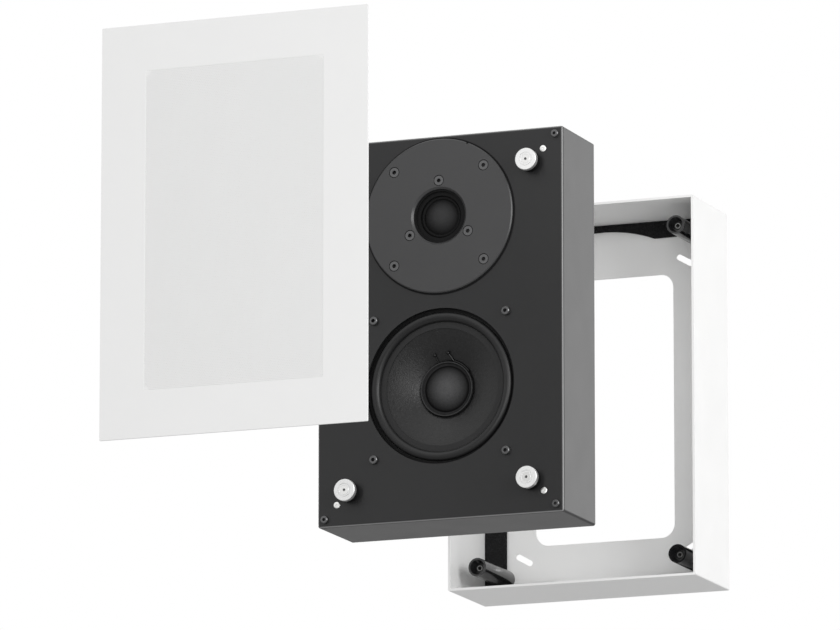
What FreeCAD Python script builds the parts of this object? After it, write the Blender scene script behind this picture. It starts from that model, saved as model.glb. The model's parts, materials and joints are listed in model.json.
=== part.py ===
import FreeCAD, Part
import os
from math import atan2, cos, degrees, hypot, pi, radians, sin, sqrt

# On-wall loudspeaker of folded sheet steel, taken apart along its depth: a grille panel, a cabinet
# with a dome tweeter and a cone woofer, and the frame that is screwed to the wall.
# Millimetres, X to the right seen from the front, Y into the wall, Z up.
# The origin is the centre of the frame's back face, in the plane of the wall.

# Distances between the three groups as they are laid out, taken apart
cabinet_lead = 300.0
grille_lead = 430.0

# Fits
screw_play = 0.1
seat_gap = 0.3
panel_play = 0.2
glue_gap = 0.05

# Woofer, from its front edge to its back
woofer_hole_radius = 64.25
rim_setback = 2.0
woofer_floor = 110.5
woofer_gasket_thickness = 1.5
basket_flange = 3.0
basket_wall = 2.5
basket_rim_width = 5.5
basket_depth = 35.0
basket_floor_radius = 40.0
basket_windows = 6
basket_spoke = 9.0
basket_mouth_step = 1.0
ear_offset = 57.5
ear_radius = 8.0
surround_skin = 0.8
surround_roll_radius = 4.1
surround_land = 4.6
surround_lip = 5.0
surround_seat = 1.8
cone_skin = 0.8
cone_fall = 15.0
cone_bow = 1.6
collar_radius = 22.5
dust_cap_radius = 18.8
dust_cap_rise = 6.5
dust_cap_groove = 1.8
collar_height = 2.2
coil_radius = 16.0
coil_former = 0.4
coil_winding = 0.8
coil_length = 25.0
coil_turns_length = 10.0
coil_air = 0.4
spider_skin = 0.6
spider_wave = 1.5
spider_waves = 4
spider_ledge = 5.0
spider_depth = 24.0
woofer_plate_radius = 38.0
woofer_plate_thickness = 5.0
woofer_magnet_radius = 42.0
woofer_magnet_bore = 22.0
woofer_magnet_thickness = 12.0
woofer_yoke_thickness = 5.0
woofer_vent_radius = 4.0
lead_radius = 0.7
lead_reach = 6.5
lead_clear = 0.25
short_lead_turn = 108.0
long_lead_turn = 85.0
long_lead_lean = 10.0
long_lead_wrap = 40.0
solder_radius = 1.4

# Tweeter, from its front plate to its back
plate_radius = 64.0
plate_thickness = 3.0
plate_chamfer = 0.8
plate_margin = 3.0
plate_side_margin = 43.0
nick_radius = 1.2
nick_turn = 67.0
plate_screw_offset = 39.0
dome_hole_radius = 22.5
dome_hole_chamfer = 1.6
tweeter_screw_circle = 29.25
tweeter_screw_count = 3
tweeter_face_radius = 35.5
tweeter_face_thickness = 4.0
tweeter_hole_play = 1.0
tweeter_throat_radius = 17.6
dome_radius = 14.5
dome_rise = 6.4
dome_roll_width = 2.6
dome_roll_rise = 1.3
dome_skin = 0.6
dome_flange = 2.5
tweeter_coil_former = 0.3
tweeter_coil_length = 6.0
tweeter_coil_air = 0.4
tweeter_plate_radius = 30.0
tweeter_plate_thickness = 4.0
tweeter_magnet_radius = 33.0
tweeter_magnet_bore = 18.0
tweeter_magnet_thickness = 10.0
tweeter_yoke_radius = 30.0
tweeter_yoke_thickness = 5.0
chamber_radius = 24.0
chamber_depth = 11.0
chamber_wall = 1.5

# Cabinet
driver_spacing = 140.5
cabinet_sheet = 2.0
rear_sheet = 2.0
magnet_clearance = 9.5

# Posts and the sleeves that take them
post_inset_side = 17.0
post_inset_end = 18.0
post_radius = 8.0
post_end_gap = 4.0
post_play = 0.5
sleeve_wall = 1.5
funnel_radius = 6.4
funnel_depth = 6.0
insert_radius = 3.0
insert_length = 10.0
insert_play = 0.3
screw_grip = 8.0

# Grille magnets on their pillars
magnet_inset = 28.0
pillar_radius = 8.4
pillar_height = 7.5
disc_radius = 9.0
disc_thickness = 4.5

# Screws: head radius, head height, shank radius
corner_inset = 6.5
corner_head = 3.25
corner_head_height = 2.8
small_shank = 1.5
cabinet_head = 2.75
cabinet_head_height = 1.2
sunk_head = 2.9
sunk_head_height = 1.4
face_head = 4.1
face_head_height = 2.3
face_head_sink = 0.25
face_head_play = 0.5
spacer_radius = 3.5
spacer_thread = 10.0
large_shank = 2.0
large_sunk_head = 3.8
large_sunk_height = 1.8
woofer_head = 3.8
woofer_head_height = 2.2
nut_radius = 4.0
nut_height = 2.5
screw_end = 1.0

# Terminal cup with its binding posts
cup_width = 60.0
cup_height = 40.0
cup_depth = 24.0
cup_wall = 2.0
cup_corner = 6.0
cup_flange = 8.0
cup_flange_thickness = 2.0
cup_above_magnet = 14.5
terminal_spacing = 19.0
terminal_radius = 3.2
plug_bore_radius = 2.0
plug_bore_length = 14.0
terminal_base_radius = 6.0
terminal_base = 2.5
terminal_length = 20.0
terminal_tail_radius = 2.0
terminal_tail = 8.0
wire_gap = 3.0
cap_radius = 6.5
cap_flutes = 8
flute_radius = 1.3
cap_play = 0.15

# Crossover on the rear panel
board_height = 44.0
board_thickness = 1.6
board_floor = 8.0
board_edge = 6.0
board_end = 11.0
part_gap = 7.0
standoff_radius = 3.0
standoff_height = 6.0
board_head = 2.6
board_head_height = 1.6
coil_radii = (16.0, 12.0)
coil_bore_share = 0.4
coil_height = 15.0
capacitor_radius = 8.0
capacitor_length = 32.0
capacitor_pitch = 20.0
capacitor_flat = 0.8
resistor_width = 9.0
resistor_length = 24.0

# Inner wires and the tags of the drivers
wire_radius = 0.8
wire_bend = 4.0
wire_edge = 1.5
wire_lead = 6.0
wire_pitch = 6.0
tag_thickness = 1.2
tag_width = 14.0
tag_length = 10.0
tag_inset = 2.5

# Damping pad behind the tweeter
pad_width = 130.0
pad_height = 60.0
pad_thickness = 20.0

# Wall frame
frame_sheet = 2.0
frame_side_gap = 2.0
frame_end_gap = 1.5
frame_lip = 8.0
frame_corner_radius = 1.0
cutout_side_margin = 48.0
cutout_end_margin = 48.5
cutout_corner = 12.0
slot_length = 17.0
slot_width = 5.0
slot_tilt = 30.0
slot_inset = 37.5
gasket_thickness = 2.0
gasket_side_reach = 20.6
gasket_end_reach = 15.0
notch_radius = 125.0
notch_rise = 9.0
foam_play = 0.3

# Grille
grille_sheet = 1.5
grille_corner = 0.8
field_side_margin = 37.0
field_end_margin = 36.5
field_recess = 0.2
cloth_thickness = 0.4
cloth_overlap = 4.0
cloth_relief = 1.5

# Woofer stack, as depths behind the front of the baffle
gasket_back = cabinet_sheet + woofer_gasket_thickness
rim_back = gasket_back + basket_flange
surround_back = gasket_back + surround_seat
surround_front = surround_back - surround_skin
basket_back = gasket_back + basket_depth
woofer_plate_back = basket_back + woofer_plate_thickness
woofer_magnet_back = woofer_plate_back + woofer_magnet_thickness
woofer_back = woofer_magnet_back + woofer_yoke_thickness
cone_top = surround_back
neck_radius = coil_radius + coil_former + glue_gap
basket_bore = woofer_hole_radius + rim_setback
roll_outer = basket_bore - surround_land
roll_inner = roll_outer - 2 * surround_roll_radius
cone_edge = roll_inner
cone_start = roll_inner - surround_lip
neck_depth = cone_top + cone_fall

# Cabinet, from its drivers
cabinet_width = 2 * (plate_radius + plate_side_margin)
cabinet_height = plate_margin + plate_radius + driver_spacing + woofer_floor
cabinet_depth = woofer_back + magnet_clearance + rear_sheet
half_width = cabinet_width / 2
half_height = cabinet_height / 2
woofer_z = woofer_floor - half_height
tweeter_z = woofer_z + driver_spacing
rear_inside = cabinet_depth - rear_sheet

# Seated places: the cabinet's back lies just clear of the foam on the frame's back plate
seat_back = -(frame_sheet + gasket_thickness + seat_gap)
seat_front = seat_back - cabinet_depth
frame_front = seat_front - frame_lip
frame_half_width = half_width + frame_side_gap + frame_sheet
frame_half_height = half_height + frame_end_gap + frame_sheet
post_front = seat_front + cabinet_sheet + post_end_gap
post_depth = post_front - seat_front

# Places as laid out
cabinet_front = frame_front - cabinet_lead
grille_back = cabinet_front - grille_lead
post_x = half_width - post_inset_side
post_z = half_height - post_inset_end
sleeve_bore = post_radius + post_play
magnet_x = half_width - magnet_inset
magnet_z = half_height - magnet_inset
corner_x = half_width - corner_inset
corner_z = half_height - corner_inset
magnet_front = pillar_height + disc_thickness

vec = FreeCAD.Vector


def deep(depth):
    """Y of a depth behind the front of the cabinet's baffle."""
    return cabinet_front + depth


def box(x_low, x_high, y_low, y_high, z_low, z_high):
    """Block between two corners."""
    corner = vec(x_low, y_low, z_low)
    return Part.makeBox(x_high - x_low, y_high - y_low, z_high - z_low, corner)


def rod(radius, y_low, y_high, x=0.0, z=0.0):
    """Cylinder along Y."""
    return Part.makeCylinder(radius, y_high - y_low, vec(x, y_low, z), vec(0, 1, 0))


def tube(outer, inner, y_low, y_high, x=0.0, z=0.0):
    """Hollow cylinder along Y."""
    return rod(outer, y_low, y_high, x, z).cut(rod(inner, y_low, y_high, x, z))


def turned(start, *steps, x=0.0, z=0.0):
    """Solid turned about a line along Y.

    Each step is the next point (radius, y) of the closed profile, or a pair of points, the middle
    and the end of an arc.
    """
    def place(point):
        return vec(x + point[0], point[1], z)

    edges = []
    here = start
    for step in steps + (start,):
        if isinstance(step[0], tuple):
            middle, end = step
            edges.append(Part.Arc(place(here), place(middle), place(end)).toShape())
        else:
            end = step
            edges.append(Part.makeLine(place(here), place(end)))
        here = end
    solid = Part.Face(Part.Wire(edges)).revolve(vec(x, 0, z), vec(0, 1, 0), 360)
    return solid if solid.Volume > 0 else solid.reversed()


def rounded_plate(half_x, half_z, corner, y_low, y_high, x=0.0, z=0.0):
    """Plate across Y with rounded corners."""
    block = box(x - half_x, x + half_x, y_low, y_high, z - half_z, z + half_z)
    return block.makeFillet(corner, edges_along_y(block))


def edges_along_y(solid):
    """The edges of a block that run along Y."""
    return [edge for edge in solid.Edges if abs(edge.tangentAt(edge.FirstParameter).y) > 0.99]


def corners(x, z):
    """The four corners of a rectangle about the Y axis."""
    return [(sx * x, sz * z) for sx in (-1, 1) for sz in (-1, 1)]


def ring(radius, count, first_degrees, z):
    """Places on a circle about a driver's axis."""
    angles = [radians(first_degrees) + 2 * pi * step / count for step in range(count)]
    return [(radius * cos(angle), z + radius * sin(angle)) for angle in angles]


def screw(place, seat, way, head, head_height, shank, reach, play=0.0):
    """Screw along Y whose head stands on the seat and whose shank points along way."""
    crown = seat - way * head_height
    tip = seat + way * reach
    x, z = place
    return turned((0, crown), (head + play, crown), (head + play, seat), (shank + play, seat),
                  (shank + play, tip), (0, tip), x=x, z=z)


def sunk_screw(place, seat, way, head, head_height, shank, reach, play=0.0):
    """Countersunk screw along Y, flush with the seat; with play it is the hole for one."""
    neck = seat + way * head_height
    tip = seat + way * reach
    x, z = place
    return turned((0, seat), (head + play, seat), (shank + play, neck), (shank + play, tip),
                  (0, tip), x=x, z=z)


def cut_all(solid, tools):
    """A solid with every tool cut out of it."""
    for tool in tools:
        solid = solid.cut(tool)
    return solid


def save(name, *solids):
    """One file for a node, of one solid or of a group of like solids."""
    shape = solids[0] if len(solids) == 1 else Part.makeCompound(list(solids))
    shape.exportStep(os.path.join("parts", name + ".step"))


# Fasteners, written once so that each hole follows its screw

post_places = corners(post_x, post_z)
magnet_places = corners(magnet_x, magnet_z)
corner_places = corners(corner_x, corner_z)
plate_corners = corners(plate_screw_offset, plate_screw_offset)
plate_screw_places = [(x, tweeter_z + z) for x, z in plate_corners]
tweeter_screw_places = ring(tweeter_screw_circle, tweeter_screw_count, 90, tweeter_z)
woofer_screw_places = [(x, woofer_z + z) for x, z in corners(ear_offset, ear_offset)]


def corner_screw(place, play=0.0):
    return screw(place, deep(0), 1, corner_head, corner_head_height, small_shank,
                 cabinet_sheet + spacer_thread, play)


def rear_screw(place, play=0.0):
    return sunk_screw(place, deep(cabinet_depth), -1, sunk_head, sunk_head_height, small_shank,
                      rear_sheet + spacer_thread, play)


def cabinet_screw(place, play=0.0):
    reach = post_depth + funnel_depth + screw_grip
    return screw(place, deep(0), 1, cabinet_head, cabinet_head_height, small_shank, reach, play)


def magnet_screw(place, play=0.0):
    reach = magnet_front + cabinet_sheet + nut_height + screw_end
    return sunk_screw(place, deep(-magnet_front), 1, large_sunk_head, large_sunk_height, large_shank,
                      reach, play)


def face_screw(place, reach):
    """Countersunk screw of the tweeter's front plate, its head a hair below the face."""
    return sunk_screw(place, deep(face_head_sink - plate_thickness), 1, face_head, face_head_height,
                      large_shank, reach - face_head_sink)


def face_screw_hole(place, reach):
    """Clearance hole and wide countersink for a screw of the front plate."""
    return sunk_screw(place, deep(-plate_thickness), 1, face_head + face_head_play,
                      face_head_sink + face_head_height, large_shank + screw_play, reach)


plate_screw_reach = plate_thickness + cabinet_sheet + nut_height + screw_end
tweeter_screw_reach = plate_thickness + tweeter_face_thickness


def woofer_screw(place, play=0.0):
    reach = rim_back + screw_end
    return screw(place, deep(0), 1, woofer_head, woofer_head_height, large_shank, reach, play)


def post_screw(place, play=0.0):
    return sunk_screw(place, 0.0, -1, large_sunk_head, large_sunk_height, large_shank,
                      frame_sheet + spacer_thread, play)


# Cabinet shell

def cabinet_shell():
    """Baffle and four sides, folded from one sheet with its bends rounded outside."""
    outer = box(-half_width, half_width, deep(0), deep(cabinet_depth), -half_height, half_height)
    bends = [edge for edge in outer.Edges if edge.BoundBox.YMin < deep(0) + cabinet_sheet]
    outer = outer.makeFillet(cabinet_sheet, bends)
    inside = box(-half_width + cabinet_sheet, half_width - cabinet_sheet, deep(cabinet_sheet),
                 deep(cabinet_depth), -half_height + cabinet_sheet, half_height - cabinet_sheet)
    tools = [inside]
    tools.append(rod(tweeter_face_radius + tweeter_hole_play, deep(0), deep(cabinet_sheet), 0, tweeter_z))
    tools.append(rod(woofer_hole_radius, deep(0), deep(cabinet_sheet), 0, woofer_z))
    tools += [corner_screw(place, screw_play) for place in corner_places]
    tools += [cabinet_screw(place, screw_play) for place in post_places]
    tools += [magnet_screw(place, screw_play) for place in magnet_places]
    tools += [face_screw_hole(place, plate_screw_reach) for place in plate_screw_places]
    tools += [woofer_screw(place, screw_play) for place in woofer_screw_places]
    return cut_all(outer, tools)


def cup_z():
    """Height of the terminal cup, clear of the woofer's magnet."""
    return woofer_z + woofer_magnet_radius + cup_above_magnet + cup_height / 2


def rear_panel():
    """Flat panel between the cabinet's sides, open for the posts and the terminal cup."""
    inset = cabinet_sheet + panel_play
    panel = box(-half_width + inset, half_width - inset, deep(rear_inside), deep(cabinet_depth),
                -half_height + inset, half_height - inset)
    tools = [rod(sleeve_bore, deep(rear_inside), deep(cabinet_depth), x, z) for x, z in post_places]
    tools += [rear_screw(place, screw_play) for place in corner_places]
    tools.append(rounded_plate(cup_width / 2 + panel_play, cup_height / 2 + panel_play, cup_corner,
                               deep(rear_inside), deep(cabinet_depth), z=cup_z()))
    tools += [cup_screw(place, screw_play) for place in cup_screw_places()]
    return cut_all(panel, tools)


def post_sleeves():
    """Tubes between the baffle and the rear panel that guide the posts."""
    outer = sleeve_bore + sleeve_wall
    return [tube(outer, sleeve_bore, deep(cabinet_sheet), deep(rear_inside), x, z)
            for x, z in post_places]


def corner_spacers():
    """Threaded rods that tie the baffle to the rear panel."""
    bore = small_shank + screw_play
    solids = []
    for x, z in corner_places:
        spacer = rod(spacer_radius, deep(cabinet_sheet), deep(rear_inside), x, z)
        front = rod(bore, deep(cabinet_sheet), deep(cabinet_sheet + spacer_thread + screw_end), x, z)
        back = rod(bore, deep(rear_inside - spacer_thread - screw_end), deep(rear_inside), x, z)
        solids.append(spacer.cut(front).cut(back))
    return solids


# Grille magnets

def magnet_pillars():
    """Short pillars on the baffle that carry the pot magnets."""
    bore = large_shank + screw_play
    return [tube(pillar_radius, bore, deep(-pillar_height), deep(0), x, z) for x, z in magnet_places]


def pot_magnets():
    """Countersunk pot magnets, the rests of the grille."""
    solids = []
    for place in magnet_places:
        disc = rod(disc_radius, deep(-magnet_front), deep(-pillar_height), *place)
        solids.append(disc.cut(magnet_screw(place, screw_play)))
    return solids


def nut(place):
    """Hexagon nut behind the baffle."""
    x, z = place
    sides = ring(nut_radius, 6, 0, z)
    points = [vec(x + px, deep(cabinet_sheet), pz) for px, pz in sides + sides[:1]]
    return Part.Face(Part.makePolygon(points)).extrude(vec(0, nut_height, 0))


def baffle_nuts():
    """Nuts of the magnet screws."""
    return [nut(place).cut(magnet_screw(place, screw_play)) for place in magnet_places]


def plate_nuts():
    """Nuts of the screws that hold the tweeter's front plate."""
    return [nut(place).cut(face_screw_hole(place, plate_screw_reach)) for place in plate_screw_places]


# Tweeter

def tweeter_plate():
    """Turned front plate with a chamfered rim, a nick in the rim and a chamfered opening."""
    front = deep(-plate_thickness)
    back = deep(0)
    plate = turned((dome_hole_radius, back), (plate_radius, back), (plate_radius, front + plate_chamfer),
                   (plate_radius - plate_chamfer, front), (dome_hole_radius + dome_hole_chamfer, front),
                   (dome_hole_radius, front + dome_hole_chamfer), z=tweeter_z)
    tools = [face_screw_hole(place, plate_screw_reach) for place in plate_screw_places]
    tools += [face_screw_hole(place, tweeter_screw_reach) for place in tweeter_screw_places]
    tools += [rod(nick_radius, front, back, *place) for place in ring(plate_radius, 1, nick_turn, tweeter_z)]
    return cut_all(plate, tools)


dome_plane = tweeter_face_thickness
dome_outer = dome_radius + dome_roll_width + dome_flange
tweeter_plate_front = dome_plane + dome_skin
tweeter_plate_back = tweeter_plate_front + tweeter_plate_thickness
tweeter_magnet_back = tweeter_plate_back + tweeter_magnet_thickness
tweeter_yoke_back = tweeter_magnet_back + tweeter_yoke_thickness


def tweeter_face():
    """Ring behind the front plate that clamps the diaphragm, stepped down towards the dome."""
    front = deep(0)
    back = deep(tweeter_face_thickness)
    step = tweeter_face_thickness / 2
    face = turned((tweeter_throat_radius, back), (tweeter_face_radius, back), (tweeter_face_radius, front),
                  (dome_hole_radius - dome_hole_chamfer, front),
                  (dome_hole_radius - dome_hole_chamfer, front + step),
                  (tweeter_throat_radius, front + step), z=tweeter_z)
    tools = [face_screw_hole(place, tweeter_screw_reach) for place in tweeter_screw_places]
    return cut_all(face, tools)


def dome_section(radius, plane, rise):
    """Middle and end of the arc of one skin of a dome, from its rim to its crown."""
    reach = (radius ** 2 + rise ** 2) / (2 * rise)
    half = radius / 2
    drop = reach - sqrt(reach ** 2 - half ** 2)
    return ((half, plane - rise + drop), (0, plane - rise))


def tweeter_dome():
    """Pressed cloth diaphragm: dome, half roll and the flange that is clamped."""
    front = deep(dome_plane)
    back = front + dome_skin
    roll = dome_radius + dome_roll_width
    middle = dome_radius + dome_roll_width / 2
    outer = dome_section(dome_radius, front, dome_rise)
    inner = dome_section(dome_radius - dome_skin, back, dome_rise)
    inner_middle, crown = inner
    return turned((dome_outer, back), (dome_outer, front), (roll, front),
                  ((middle, front - dome_roll_rise), (dome_radius, front)), outer, crown,
                  (inner_middle, (dome_radius - dome_skin, back)), (dome_radius, back),
                  ((middle, back - dome_roll_rise), (roll, back)), z=tweeter_z)


def tweeter_coil():
    """Voice coil on its former, in the gap between the plate and the pole."""
    front = deep(tweeter_plate_front)
    return tube(dome_radius, dome_radius - tweeter_coil_former, front, front + tweeter_coil_length,
                0, tweeter_z)


def tweeter_top_plate():
    return tube(tweeter_plate_radius, dome_radius + tweeter_coil_air, deep(tweeter_plate_front),
                deep(tweeter_plate_back), 0, tweeter_z)


def tweeter_magnet():
    return tube(tweeter_magnet_radius, tweeter_magnet_bore, deep(tweeter_plate_back),
                deep(tweeter_magnet_back), 0, tweeter_z)


def tweeter_yoke():
    """Back plate and pole, turned as one piece."""
    pole = dome_radius - tweeter_coil_former - tweeter_coil_air
    return turned((0, deep(tweeter_plate_front)), (pole, deep(tweeter_plate_front)),
                  (pole, deep(tweeter_magnet_back)), (tweeter_yoke_radius, deep(tweeter_magnet_back)),
                  (tweeter_yoke_radius, deep(tweeter_yoke_back)), (0, deep(tweeter_yoke_back)), z=tweeter_z)


def tweeter_chamber():
    """Moulded cup behind the yoke."""
    front = deep(tweeter_yoke_back)
    back = front + chamber_depth
    inside = chamber_radius - chamber_wall
    return turned((inside, front), (chamber_radius, front), (chamber_radius, back), (0, back),
                  (0, back - chamber_wall), (inside, back - chamber_wall), z=tweeter_z)


# Woofer

rim_radius = basket_bore + basket_rim_width


def eared_ring(inner, outer, front, back):
    """Round flange with four ears for the woofer's screws."""
    flange = rod(outer, front, back, 0, woofer_z)
    for x, z in woofer_screw_places:
        arm = box(0, hypot(x, z - woofer_z), front, back, -ear_radius, ear_radius)
        arm.rotate(vec(0, 0, 0), vec(0, 1, 0), -degrees(atan2(z - woofer_z, x)))
        arm.translate(vec(0, 0, woofer_z))
        flange = flange.fuse(arm).fuse(rod(ear_radius, front, back, x, z))
    flange = flange.removeSplitter()
    tools = [rod(inner, front, back, 0, woofer_z)]
    tools += [woofer_screw(place, screw_play) for place in woofer_screw_places]
    return cut_all(flange, tools)


def woofer_gasket():
    """Foam ring between the baffle and the basket's flange."""
    return eared_ring(basket_bore, rim_radius, deep(cabinet_sheet), deep(gasket_back))


def woofer_basket():
    """Pressed basket: eared flange, tapered wall with windows, spider ledge and floor."""
    top = deep(gasket_back)
    seat = deep(surround_back)
    under = deep(rim_back)
    ledge = deep(gasket_back + spider_depth)
    floor = deep(basket_back)
    floor_front = floor - basket_wall
    mouth = roll_outer - basket_mouth_step
    ledge_outer = basket_floor_radius + spider_ledge
    ledge_inner = basket_floor_radius - basket_wall
    flange = eared_ring(basket_bore, rim_radius, top, under)
    shell = turned((basket_bore, seat), (basket_bore, under),
                   (mouth + basket_wall, under), (ledge_outer + basket_wall, ledge),
                   (ledge_outer + basket_wall, ledge + basket_wall),
                   (basket_floor_radius, ledge + basket_wall), (basket_floor_radius, floor),
                   (coil_radius + coil_former + coil_winding + coil_air, floor),
                   (coil_radius + coil_former + coil_winding + coil_air, floor_front),
                   (ledge_inner, floor_front), (ledge_inner, ledge),
                   (ledge_outer, ledge), (mouth, under), (mouth, seat), z=woofer_z)
    basket = flange.fuse(shell).removeSplitter()
    return cut_all(basket, basket_openings(under, ledge))


def basket_openings(under, ledge):
    """Windows in the tapered wall, with a spoke left between each two."""
    front = under + basket_wall
    back = ledge - basket_wall
    reach = woofer_hole_radius + basket_rim_width
    blank = tube(reach, basket_floor_radius, front, back, 0, woofer_z)
    spokes = []
    for step in range(basket_windows // 2):
        spoke = box(-reach, reach, front, back, -basket_spoke / 2, basket_spoke / 2)
        spoke.rotate(vec(0, 0, 0), vec(0, 1, 0), 360 * step / basket_windows)
        spoke.translate(vec(0, 0, woofer_z))
        spokes.append(spoke)
    return cut_all(blank, spokes).Solids


def woofer_surround():
    """Rubber half roll with a flange glued to the basket and a lip glued to the cone."""
    front = deep(surround_front)
    back = deep(surround_back)
    middle = roll_outer - surround_roll_radius
    inner = surround_roll_radius - surround_skin
    land = basket_bore - glue_gap
    return turned((land, back), (land, front), (roll_outer, front),
                  ((middle, front - surround_roll_radius), (roll_inner, front)),
                  (cone_start, front), (cone_start, back), (roll_inner + surround_skin, back),
                  (roll_inner + surround_skin, front),
                  ((middle, front - inner), (roll_outer - surround_skin, front)),
                  (roll_outer - surround_skin, back), z=woofer_z)


def cone_line(radius):
    """Depth of the front of the cone at a radius, on the arc that bows out of its straight flank."""
    run = cone_start - neck_radius
    flank = hypot(run, cone_fall)
    bend = flank ** 2 / (8 * cone_bow) + cone_bow / 2
    sink = bend - cone_bow
    centre_radius = (cone_start + neck_radius) / 2 + sink * cone_fall / flank
    centre_depth = cone_top + cone_fall / 2 + sink * run / flank
    return centre_depth - sqrt(bend ** 2 - (radius - centre_radius) ** 2)


def woofer_cone():
    """Pressed paper cone with a flat edge under the surround's lip."""
    middle = (cone_start + neck_radius) / 2
    top = deep(cone_top)
    flank = deep(cone_line(middle))
    neck = deep(neck_depth)
    return turned((cone_edge, top), (cone_edge, top + cone_skin), (cone_start, top + cone_skin),
                  ((middle, flank + cone_skin), (neck_radius, neck + cone_skin)), (neck_radius, neck),
                  ((middle, flank), (cone_start, top)), z=woofer_z)


def dust_cap():
    """Dust cap: a collar that stands on the cone and a dome inside it."""
    seat = deep(cone_line(collar_radius)) - glue_gap
    top = seat - collar_height
    groove = top + dust_cap_groove
    under = groove + cone_skin
    ring_inside = collar_radius - cone_skin
    outer = dome_section(dust_cap_radius, groove, dust_cap_rise)
    inner_middle, crown = dome_section(dust_cap_radius - cone_skin, under, dust_cap_rise)
    return turned((collar_radius, seat), (collar_radius, top), (ring_inside, top),
                  (ring_inside - cone_skin, groove), (dust_cap_radius, groove), outer, crown,
                  (inner_middle, (dust_cap_radius - cone_skin, under)), (ring_inside, under),
                  (ring_inside, seat), z=woofer_z)


def woofer_coil():
    """Voice coil: thin former with the winding at its back end."""
    front = deep(neck_depth)
    back = front + coil_length
    start = back - coil_turns_length
    former = coil_radius + coil_former
    return turned((coil_radius, front), (former, front), (former, start), (former + coil_winding, start),
                  (former + coil_winding, back), (coil_radius, back), z=woofer_z)


def woofer_spider():
    """Corrugated disc that centres the coil, glued to the basket's ledge."""
    plane = deep(gasket_back + spider_depth)
    start = neck_radius
    land = basket_floor_radius
    edge = basket_floor_radius + spider_ledge - glue_gap
    count = 2 * spider_waves
    back = []
    for step in range(count + 1):
        radius = start + (land - start) * step / count
        back.append((radius, plane - (spider_wave if step % 2 else 0)))
    front = [(radius, y - spider_skin) for radius, y in reversed(back)]
    return turned(*back, (edge, plane), (edge, plane - spider_skin), *front, z=woofer_z)


def woofer_top_plate():
    bore = coil_radius + coil_former + coil_winding + coil_air
    return tube(woofer_plate_radius, bore, deep(basket_back), deep(woofer_plate_back), 0, woofer_z)


def woofer_magnet():
    return tube(woofer_magnet_radius, woofer_magnet_bore, deep(woofer_plate_back),
                deep(woofer_magnet_back), 0, woofer_z)


def woofer_yoke():
    """Back plate and vented pole, turned as one piece."""
    pole = coil_radius - coil_air
    return turned((woofer_vent_radius, deep(basket_back)), (pole, deep(basket_back)),
                  (pole, deep(woofer_magnet_back)), (woofer_plate_radius, deep(woofer_magnet_back)),
                  (woofer_plate_radius, deep(woofer_back)), (woofer_vent_radius, deep(woofer_back)),
                  z=woofer_z)


def on_cone(radius, degrees):
    """Middle of a lead that lies on the front of the cone."""
    [(x, z)] = ring(radius, 1, degrees, woofer_z)
    return vec(x, deep(cone_line(radius)) - lead_radius - lead_clear, z)


def cone_leads():
    """Two leads on the cone, from their eyelets to the dust cap's collar; one follows the collar."""
    beside = collar_radius + lead_radius + lead_clear
    solids = []
    for turn, lean in ((short_lead_turn, 0.0), (long_lead_turn, long_lead_lean)):
        far = on_cone(collar_radius + lead_reach, turn)
        near = on_cone(beside, turn - lean)
        run = Part.makeCylinder(lead_radius, (far - near).Length, near, far - near)
        eyelet = Part.makeSphere(solder_radius, far - vec(0, solder_radius - lead_radius, 0))
        solids.append(run.fuse(eyelet))
    landing = long_lead_turn - long_lead_lean
    bends = [on_cone(beside, landing - long_lead_wrap * share) for share in (0.0, 0.5, 1.0)]
    way = on_cone(beside, landing - 90) - vec(0, on_cone(beside, landing).y, woofer_z)
    section = Part.Wire(Part.makeCircle(lead_radius, bends[0], way))
    wrap = Part.Wire(Part.Arc(*bends).toShape()).makePipeShell([section], True, True)
    short, long = solids
    return [short, long.fuse([Part.makeSphere(lead_radius, bends[0]), wrap])]


# Terminals

def cup_screw_places():
    """The cup's screws, in the corners of its flange."""
    x = cup_width / 2 + cup_flange / 2
    z = cup_height / 2 + cup_flange / 2
    return [(px, cup_z() + pz) for px, pz in corners(x, z)]


def cup_screw(place, play=0.0):
    return sunk_screw(place, deep(cabinet_depth + cup_flange_thickness), -1, sunk_head, sunk_head_height,
                      small_shank, cup_flange_thickness + rear_sheet + 2 * screw_end, play)


cup_floor_front = cabinet_depth - cup_depth
cup_floor_back = cup_floor_front + cup_wall
terminal_places_x = (-terminal_spacing / 2, terminal_spacing / 2)


def terminal_cup():
    """Moulded dish through the rear panel, with a flange outside."""
    z = cup_z()
    back = deep(cabinet_depth + cup_flange_thickness)
    flange = rounded_plate(cup_width / 2 + cup_flange, cup_height / 2 + cup_flange, cup_corner,
                           deep(cabinet_depth), back, z=z)
    body = rounded_plate(cup_width / 2, cup_height / 2, cup_corner, deep(cup_floor_front),
                         deep(cabinet_depth), z=z)
    hollow = rounded_plate(cup_width / 2 - cup_wall, cup_height / 2 - cup_wall, cup_corner - cup_wall,
                           deep(cup_floor_back), back, z=z)
    tools = [hollow]
    tools += [cup_screw(place, screw_play) for place in cup_screw_places()]
    tools += [rod(terminal_tail_radius + screw_play, deep(cup_floor_front), deep(cup_floor_back), x, z)
              for x in terminal_places_x]
    return cut_all(flange.fuse(body).removeSplitter(), tools)


def binding_posts():
    """Turned posts with a plug bore from behind, a base on the cup's floor and a tail through it."""
    solids = []
    base = deep(cup_floor_back)
    end = base + terminal_length
    for x in terminal_places_x:
        post = turned((0, base - terminal_tail), (terminal_tail_radius, base - terminal_tail),
                      (terminal_tail_radius, base), (terminal_base_radius, base),
                      (terminal_base_radius, base + terminal_base), (terminal_radius, base + terminal_base),
                      (terminal_radius, end), (0, end), x=x, z=cup_z())
        solids.append(post.cut(rod(plug_bore_radius, end - plug_bore_length, end, x, cup_z())))
    return solids


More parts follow.
